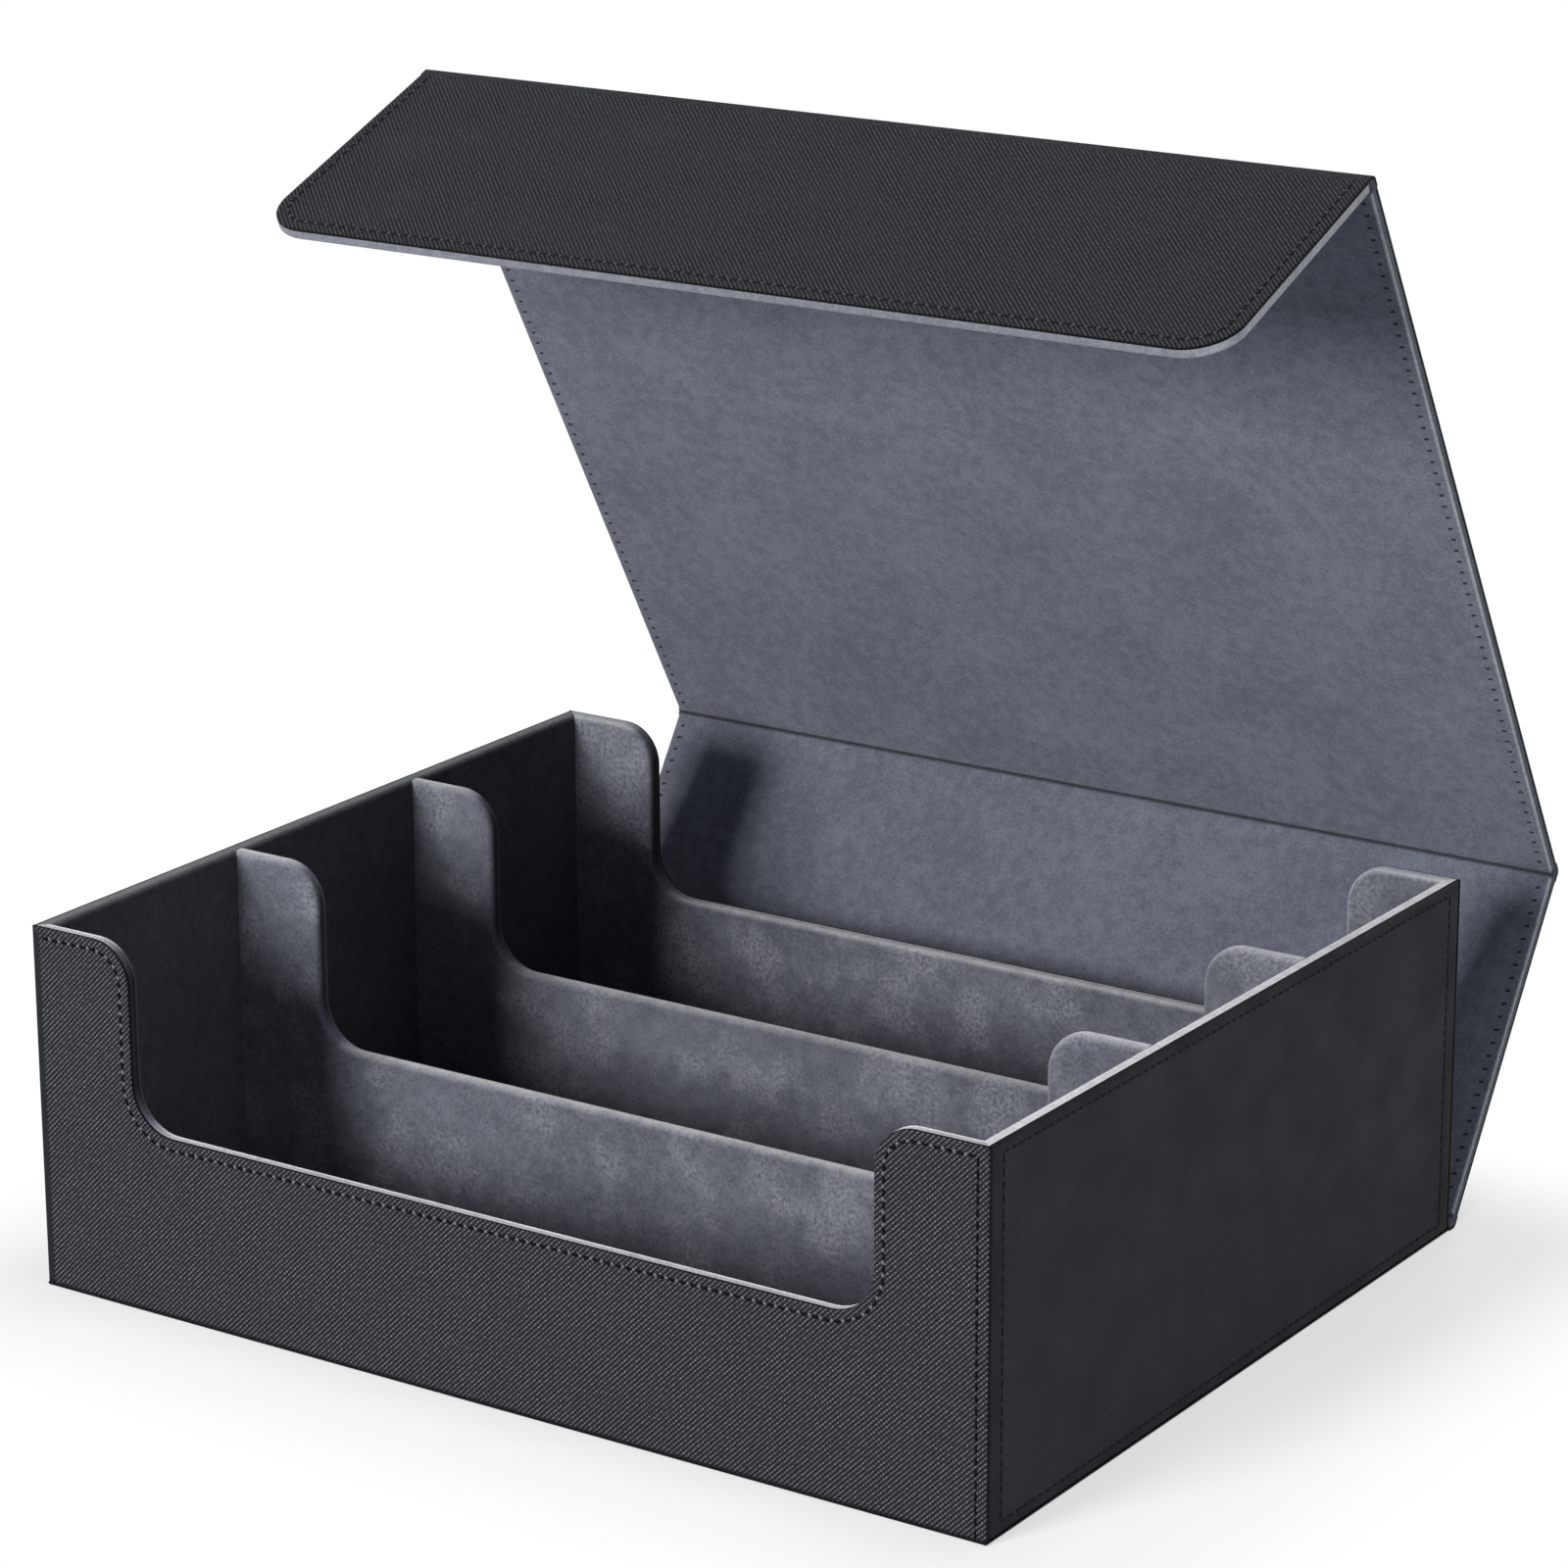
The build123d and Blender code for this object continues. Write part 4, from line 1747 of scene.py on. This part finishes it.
    def fold(self, name: str, fold: Fold, before: Body, after: Body) -> None:
        """Model one fold's leather roll and suede crease, bending between two bodies.

        Args:
            name: the fold's CAD node.
            fold: the fold.
            before: the body before it.
            after: the body after it.
        """
        s = self.sizes
        half = s.thickness / 2
        sweep = fold.after - fold.before
        turns = [fold.before + sweep * k / self.fold_steps for k in range(self.fold_steps + 1)]
        bend = [fold.axis - fold.inward(turn) * half for turn in turns]
        start, end = bend[0], bend[-1]
        first, last = fold.along(fold.before) * s.panel_end, fold.along(fold.after) * s.panel_end
        leather = self.roll(f"{name}_roll", [start - first, *bend, end + last])
        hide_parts(name)
        suede = self.crease(f"{name}_crease", fold, turns)
        looks = (
            (leather, self.finishes.lid_leather, Slot.LEATHER),
            (suede, self.finishes.lid_suede, Slot.SUEDE),
        )
        for obj, material, slot in looks:
            dress(obj, material)
            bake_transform(obj, before.value, after.value, start=start, end=end)
            LOG.info("%s bends between %s and %s", obj.name, before.value, after.value)

    def roll(self, name: str, section: Sequence[Vector]) -> Piece:
        """Lay the fold's leather along a section line and give it its thickness.

        Args:
            name: the object's name.
            section: the line's points.

        Returns:
            The leather.
        """
        half = self.sizes.half_width
        columns = (-half, -half + self.painted_end, half - self.painted_end, half)
        steps, strips = len(section) - 1, len(columns) - 1
        grid = {"x_subdivisions": strips, "y_subdivisions": steps, "size": 1.0}
        obj = add_mesh(name, bpy.ops.mesh.primitive_grid_add, **grid)
        runs = [0.0]
        for near, far in zip(section, section[1:]):
            runs.append(runs[-1] + (far - near).length)
        # The grid starts as a unit square about its middle, so a point's place gives its row and column.
        rows = [round((v.co.y + 0.5) * steps) for v in obj.data.vertices]
        sides = [columns[round((v.co.x + 0.5) * strips)] for v in obj.data.vertices]
        layer = obj.data.uv_layers.active
        layer.name = "weave"
        for loop in obj.data.loops:
            layer.data[loop.index].uv = (sides[loop.vertex_index], runs[rows[loop.vertex_index]])
        for vertex, row, side in zip(obj.data.vertices, rows, sides):
            vertex.co = (-side, section[row].y, section[row].z)
        write_points(obj, "press", [self.press] * len(sides))
        write_points(obj, "edge", [1.0 if abs(side) == half else 0.0 for side in sides])
        use_modifier(obj, "SOLIDIFY", thickness=self.sizes.skin, offset=-1.0, use_even_offset=False)
        smooth(obj, weighted=False)
        return obj

    def crease(self, name: str, fold: Fold, turns: Sequence[float]) -> Piece:
        """Model the soft filling of a fold, with a narrow slit where the two suede faces meet, darkened with
        painted shade.

        Args:
            name: the object's name.
            fold: the fold.
            turns: the angles along its roll.

        Returns:
            The filling.
        """
        s = self.sizes
        half = s.thickness / 2
        lean = (fold.after - fold.before) / 2
        up, over = fold.inward(fold.before + lean), fold.along(fold.before + lean)
        meet = fold.axis + up * (half / math.cos(lean))
        rise = up * math.sin(lean) - over * math.cos(lean)
        end = fold.along(fold.before) * s.panel_end
        share = min(1.0, (s.panel_end - half * math.tan(lean)) / self.shoulder - self.shoulder_room)
        edge = [fold.axis - end + fold.inward(fold.before) * half, meet + rise * (self.shoulder * share)]
        slit = [meet - over * (side * share) + up * height for side, height in self.crease_line]
        shut = [meet + rise * (side * share) for side, _ in self.crease_line]
        inner = half - s.skin
        back = [fold.axis + fold.along(fold.after) * s.panel_end - fold.inward(fold.after) * inner]
        back += [fold.axis - fold.inward(turn) * inner for turn in reversed(turns)]
        back += [fold.axis - end - fold.inward(fold.before) * inner]

        def section(line: Sequence[Vector], bottom: Vector) -> list[Vector]:
            """The filling's outline, with the slit's line on both sides.

            Args:
                line: one side of the slit.
                bottom: the slit's lowest point.

            Returns:
                The outline's points.
            """
            near = [*edge, *line]
            far = [point - over * (2.0 * (point - meet).dot(over)) for point in reversed(near)]
            return [*near, bottom, *far, *back]

        opened, closed = section(slit, meet - up * self.crease_depth), section(shut, meet)
        tones = [*self.crease_dark, *reversed(self.crease_dark[:-1]), *(0.0 for _ in back)]
        return self.filling(name, opened, closed, tones)

    def filling(
        self, name: str, opened: Sequence[Vector], closed: Sequence[Vector], tones: Sequence[float]
    ) -> Piece:
        """Model a bar across the lid from its outlines in the middle and at both ends.

        Args:
            name: the object's name.
            opened: the outline in the middle.
            closed: the outline at the ends.
            tones: how much painted shade each point of the outlines has.

        Returns:
            The bar.
        """
        half = self.sizes.half_width
        count = len(opened)
        # The bar starts as a round one from -1 to 1, cut at -0.5 and 0.5, and each ring takes its outline.
        rings = {
            -1.0: (-half, closed),
            -0.5: (-half + self.crease_end, opened),
            0.5: (half - self.crease_end, opened),
            1.0: (half, closed),
        }
        bar = {"vertices": count, "radius": 1.0, "depth": 2.0, "end_fill_type": "NGON"}
        obj = add_mesh(name, bpy.ops.mesh.primitive_cylinder_add, **bar)
        with editing(obj):
            cut((0.0, 0.0, -0.5), Z_AXIS)
            cut((0.0, 0.0, 0.5), Z_AXIS)
        shades = []
        for vertex in obj.data.vertices:
            step = round(math.atan2(vertex.co.x, vertex.co.y) / math.tau * count) % count
            side, points = rings[round(vertex.co.z, 1)]
            vertex.co = (side, points[step].y, points[step].z)
            shades.append(tones[step])
        write_points(obj, "rim", shades)
        with editing(obj):
            turn_faces_out()
        smooth(obj, weighted=False)
        return obj


@dataclass
class Core:
    """The stiff boards and magnets, which keep their CAD shapes."""

    finishes: Finishes

    def build(self) -> None:
        """Dress the boards and the magnets."""
        for name, node in frame["nodes"].items():
            if node.hide_render:
                continue
            steel = name.endswith("magnets")
            dress(node, self.finishes.steel if steel else self.finishes.board)
            LOG.info("%s keeps its CAD shape", name)


@dataclass(frozen=True)
class Lamp:
    """One soft studio lamp."""

    name: str
    place: Triple
    aim: Triple
    size: Point
    watts: float
    colour: Colour = (1.0, 1.0, 1.0)

    def make(self) -> None:
        """Hang the lamp and aim it."""
        data = bpy.data.lights.new(self.name, "AREA")
        data.shape = "RECTANGLE"
        data.size, data.size_y = self.size
        data.energy = self.watts
        data.color = self.colour
        obj = bpy.data.objects.new(self.name, data)
        bpy.context.scene.collection.objects.link(obj)
        obj.location = self.place
        aim = Vector(self.aim) - Vector(self.place)
        obj.rotation_euler = aim.to_track_quat("-Z", "Y").to_euler()


@dataclass(frozen=True)
class Studio:
    """The pale floor, the lamps, the world and the camera."""

    floor_half: float = 6.0
    floor_drop: float = 0.05 * MM
    floor_tones: tuple[Colour, Colour] = ((0.93, 0.935, 0.945), (0.95, 0.955, 0.962))
    floor_bounce: Colour = (0.4, 0.405, 0.415)
    floor_rough: float = 0.9
    floor_grain: float = 40.0
    floor_fade: float = 0.07
    floor_pale: float = 0.6
    footing_centre: Triple = (0.01, 0.0, 0.0)
    footing: Triple = (0.17, 0.13, 1.0)
    ambient: float = 0.025
    ambient_tone: Colour = (0.96, 0.98, 1.0)
    eye: Triple = (0.817098, -1.197378, 0.591905)
    azimuth: float = 33.97127
    elevation: float = 17.12003
    roll: float = -0.22956
    lens: float = 122.0477
    sensor: float = 36.0
    lamps: tuple[Lamp, ...] = (
        Lamp("key_lamp", (-0.47, -2.05, 0.77), (0.0, 0.0, 0.12), (0.7, 0.7), 52.5),
        Lamp("side_lamp", (0.9, -0.5, 0.25), (0.16, 0.0, 0.05), (0.4, 0.3), 1.9, (0.78, 0.89, 1.0)),
        Lamp("top_lamp", (0.2, 0.0, 1.3), (0.05, 0.0, 0.1), (0.5, 0.5), 5.0),
        Lamp("rear_lamp", (-0.2, 2.4, 0.75), (0.0, 0.15, 0.15), (1.4, 1.0), 30.0),
        Lamp("left_lamp", (-2.3, 0.5, 0.7), (0.0, 0.0, 0.1), (1.2, 1.0), 4.5),
    )

    def build(self) -> None:
        """Set the stage, the lamps and the camera."""
        self.lay_floor()
        for lamp in self.lamps:
            lamp.make()
        self.light_world()
        self.stand_camera()
        bpy.context.scene.view_settings.view_transform = "Standard"

    def lay_floor(self) -> None:
        """Lay the pale floor, which fades to white away from the box."""
        ground = {"size": 2.0 * self.floor_half, "location": (0.0, 0.0, -self.floor_drop)}
        floor = add_mesh("pale_floor", bpy.ops.mesh.primitive_plane_add, **ground)
        tree = Tree(bpy.data.materials.new("pale_floor"))
        place = tree.object_place()
        away = tree.vector("ABSOLUTE", tree.vector("SUBTRACT", place, self.footing_centre))
        past = tree.vector("MAXIMUM", tree.vector("SUBTRACT", away, self.footing), (0.0, 0.0, 0.0))
        fade = tree.span(tree.vector("LENGTH", past), 0.0, self.floor_fade, self.floor_pale)
        seen = tree.seen()
        grain = tree.span(tree.noise(place, self.floor_grain), *NOISE_RANGE)
        tone = tree.blend(seen, self.floor_bounce, tree.blend(grain, *self.floor_tones))
        tree.finish({"Base Color": tone, "Roughness": self.floor_rough, "Specular IOR Level": 0.0})
        tree.whiten(tree.math("MULTIPLY", fade, seen), "ShaderNodeEmission")
        dress(floor, tree.owner)

    def light_world(self) -> None:
        """Make the world white to look at and an even soft light on the box."""
        tree = Tree(bpy.data.worlds.new("studio"))
        bpy.context.scene.world = tree.owner
        tree.feed(tree.shader, {"Color": (*self.ambient_tone, 1.0), "Strength": self.ambient})
        tree.whiten(tree.seen(), "ShaderNodeBackground")

    def stand_camera(self) -> None:
        """Stand the camera at the photograph's viewing angle."""
        data = bpy.data.cameras.new("camera")
        data.sensor_width = self.sensor
        data.lens = self.lens
        camera = bpy.data.objects.new("camera", data)
        bpy.context.scene.collection.objects.link(camera)
        turn = Matrix.Rotation(math.radians(self.azimuth), 4, "Z")
        tilt = Matrix.Rotation(math.radians(90.0 - self.elevation), 4, "X")
        roll = Matrix.Rotation(math.radians(self.roll), 4, "Z")
        camera.matrix_world = Matrix.Translation(self.eye) @ turn @ tilt @ roll
        bpy.context.scene.camera = camera


def main() -> None:
    """Build the box, its lid and the studio."""
    logging.basicConfig(level=logging.INFO, format="%(name)s: %(message)s")
    finishes = Finishes()
    box = BoxSizes.from_frame()
    BoxShell(box, finishes).build()
    CardRows(box, finishes).build()
    Lid(LidSizes.from_frame(), finishes).build()
    Core(finishes).build()
    Studio().build()


if __name__ == "__main__":
    main()
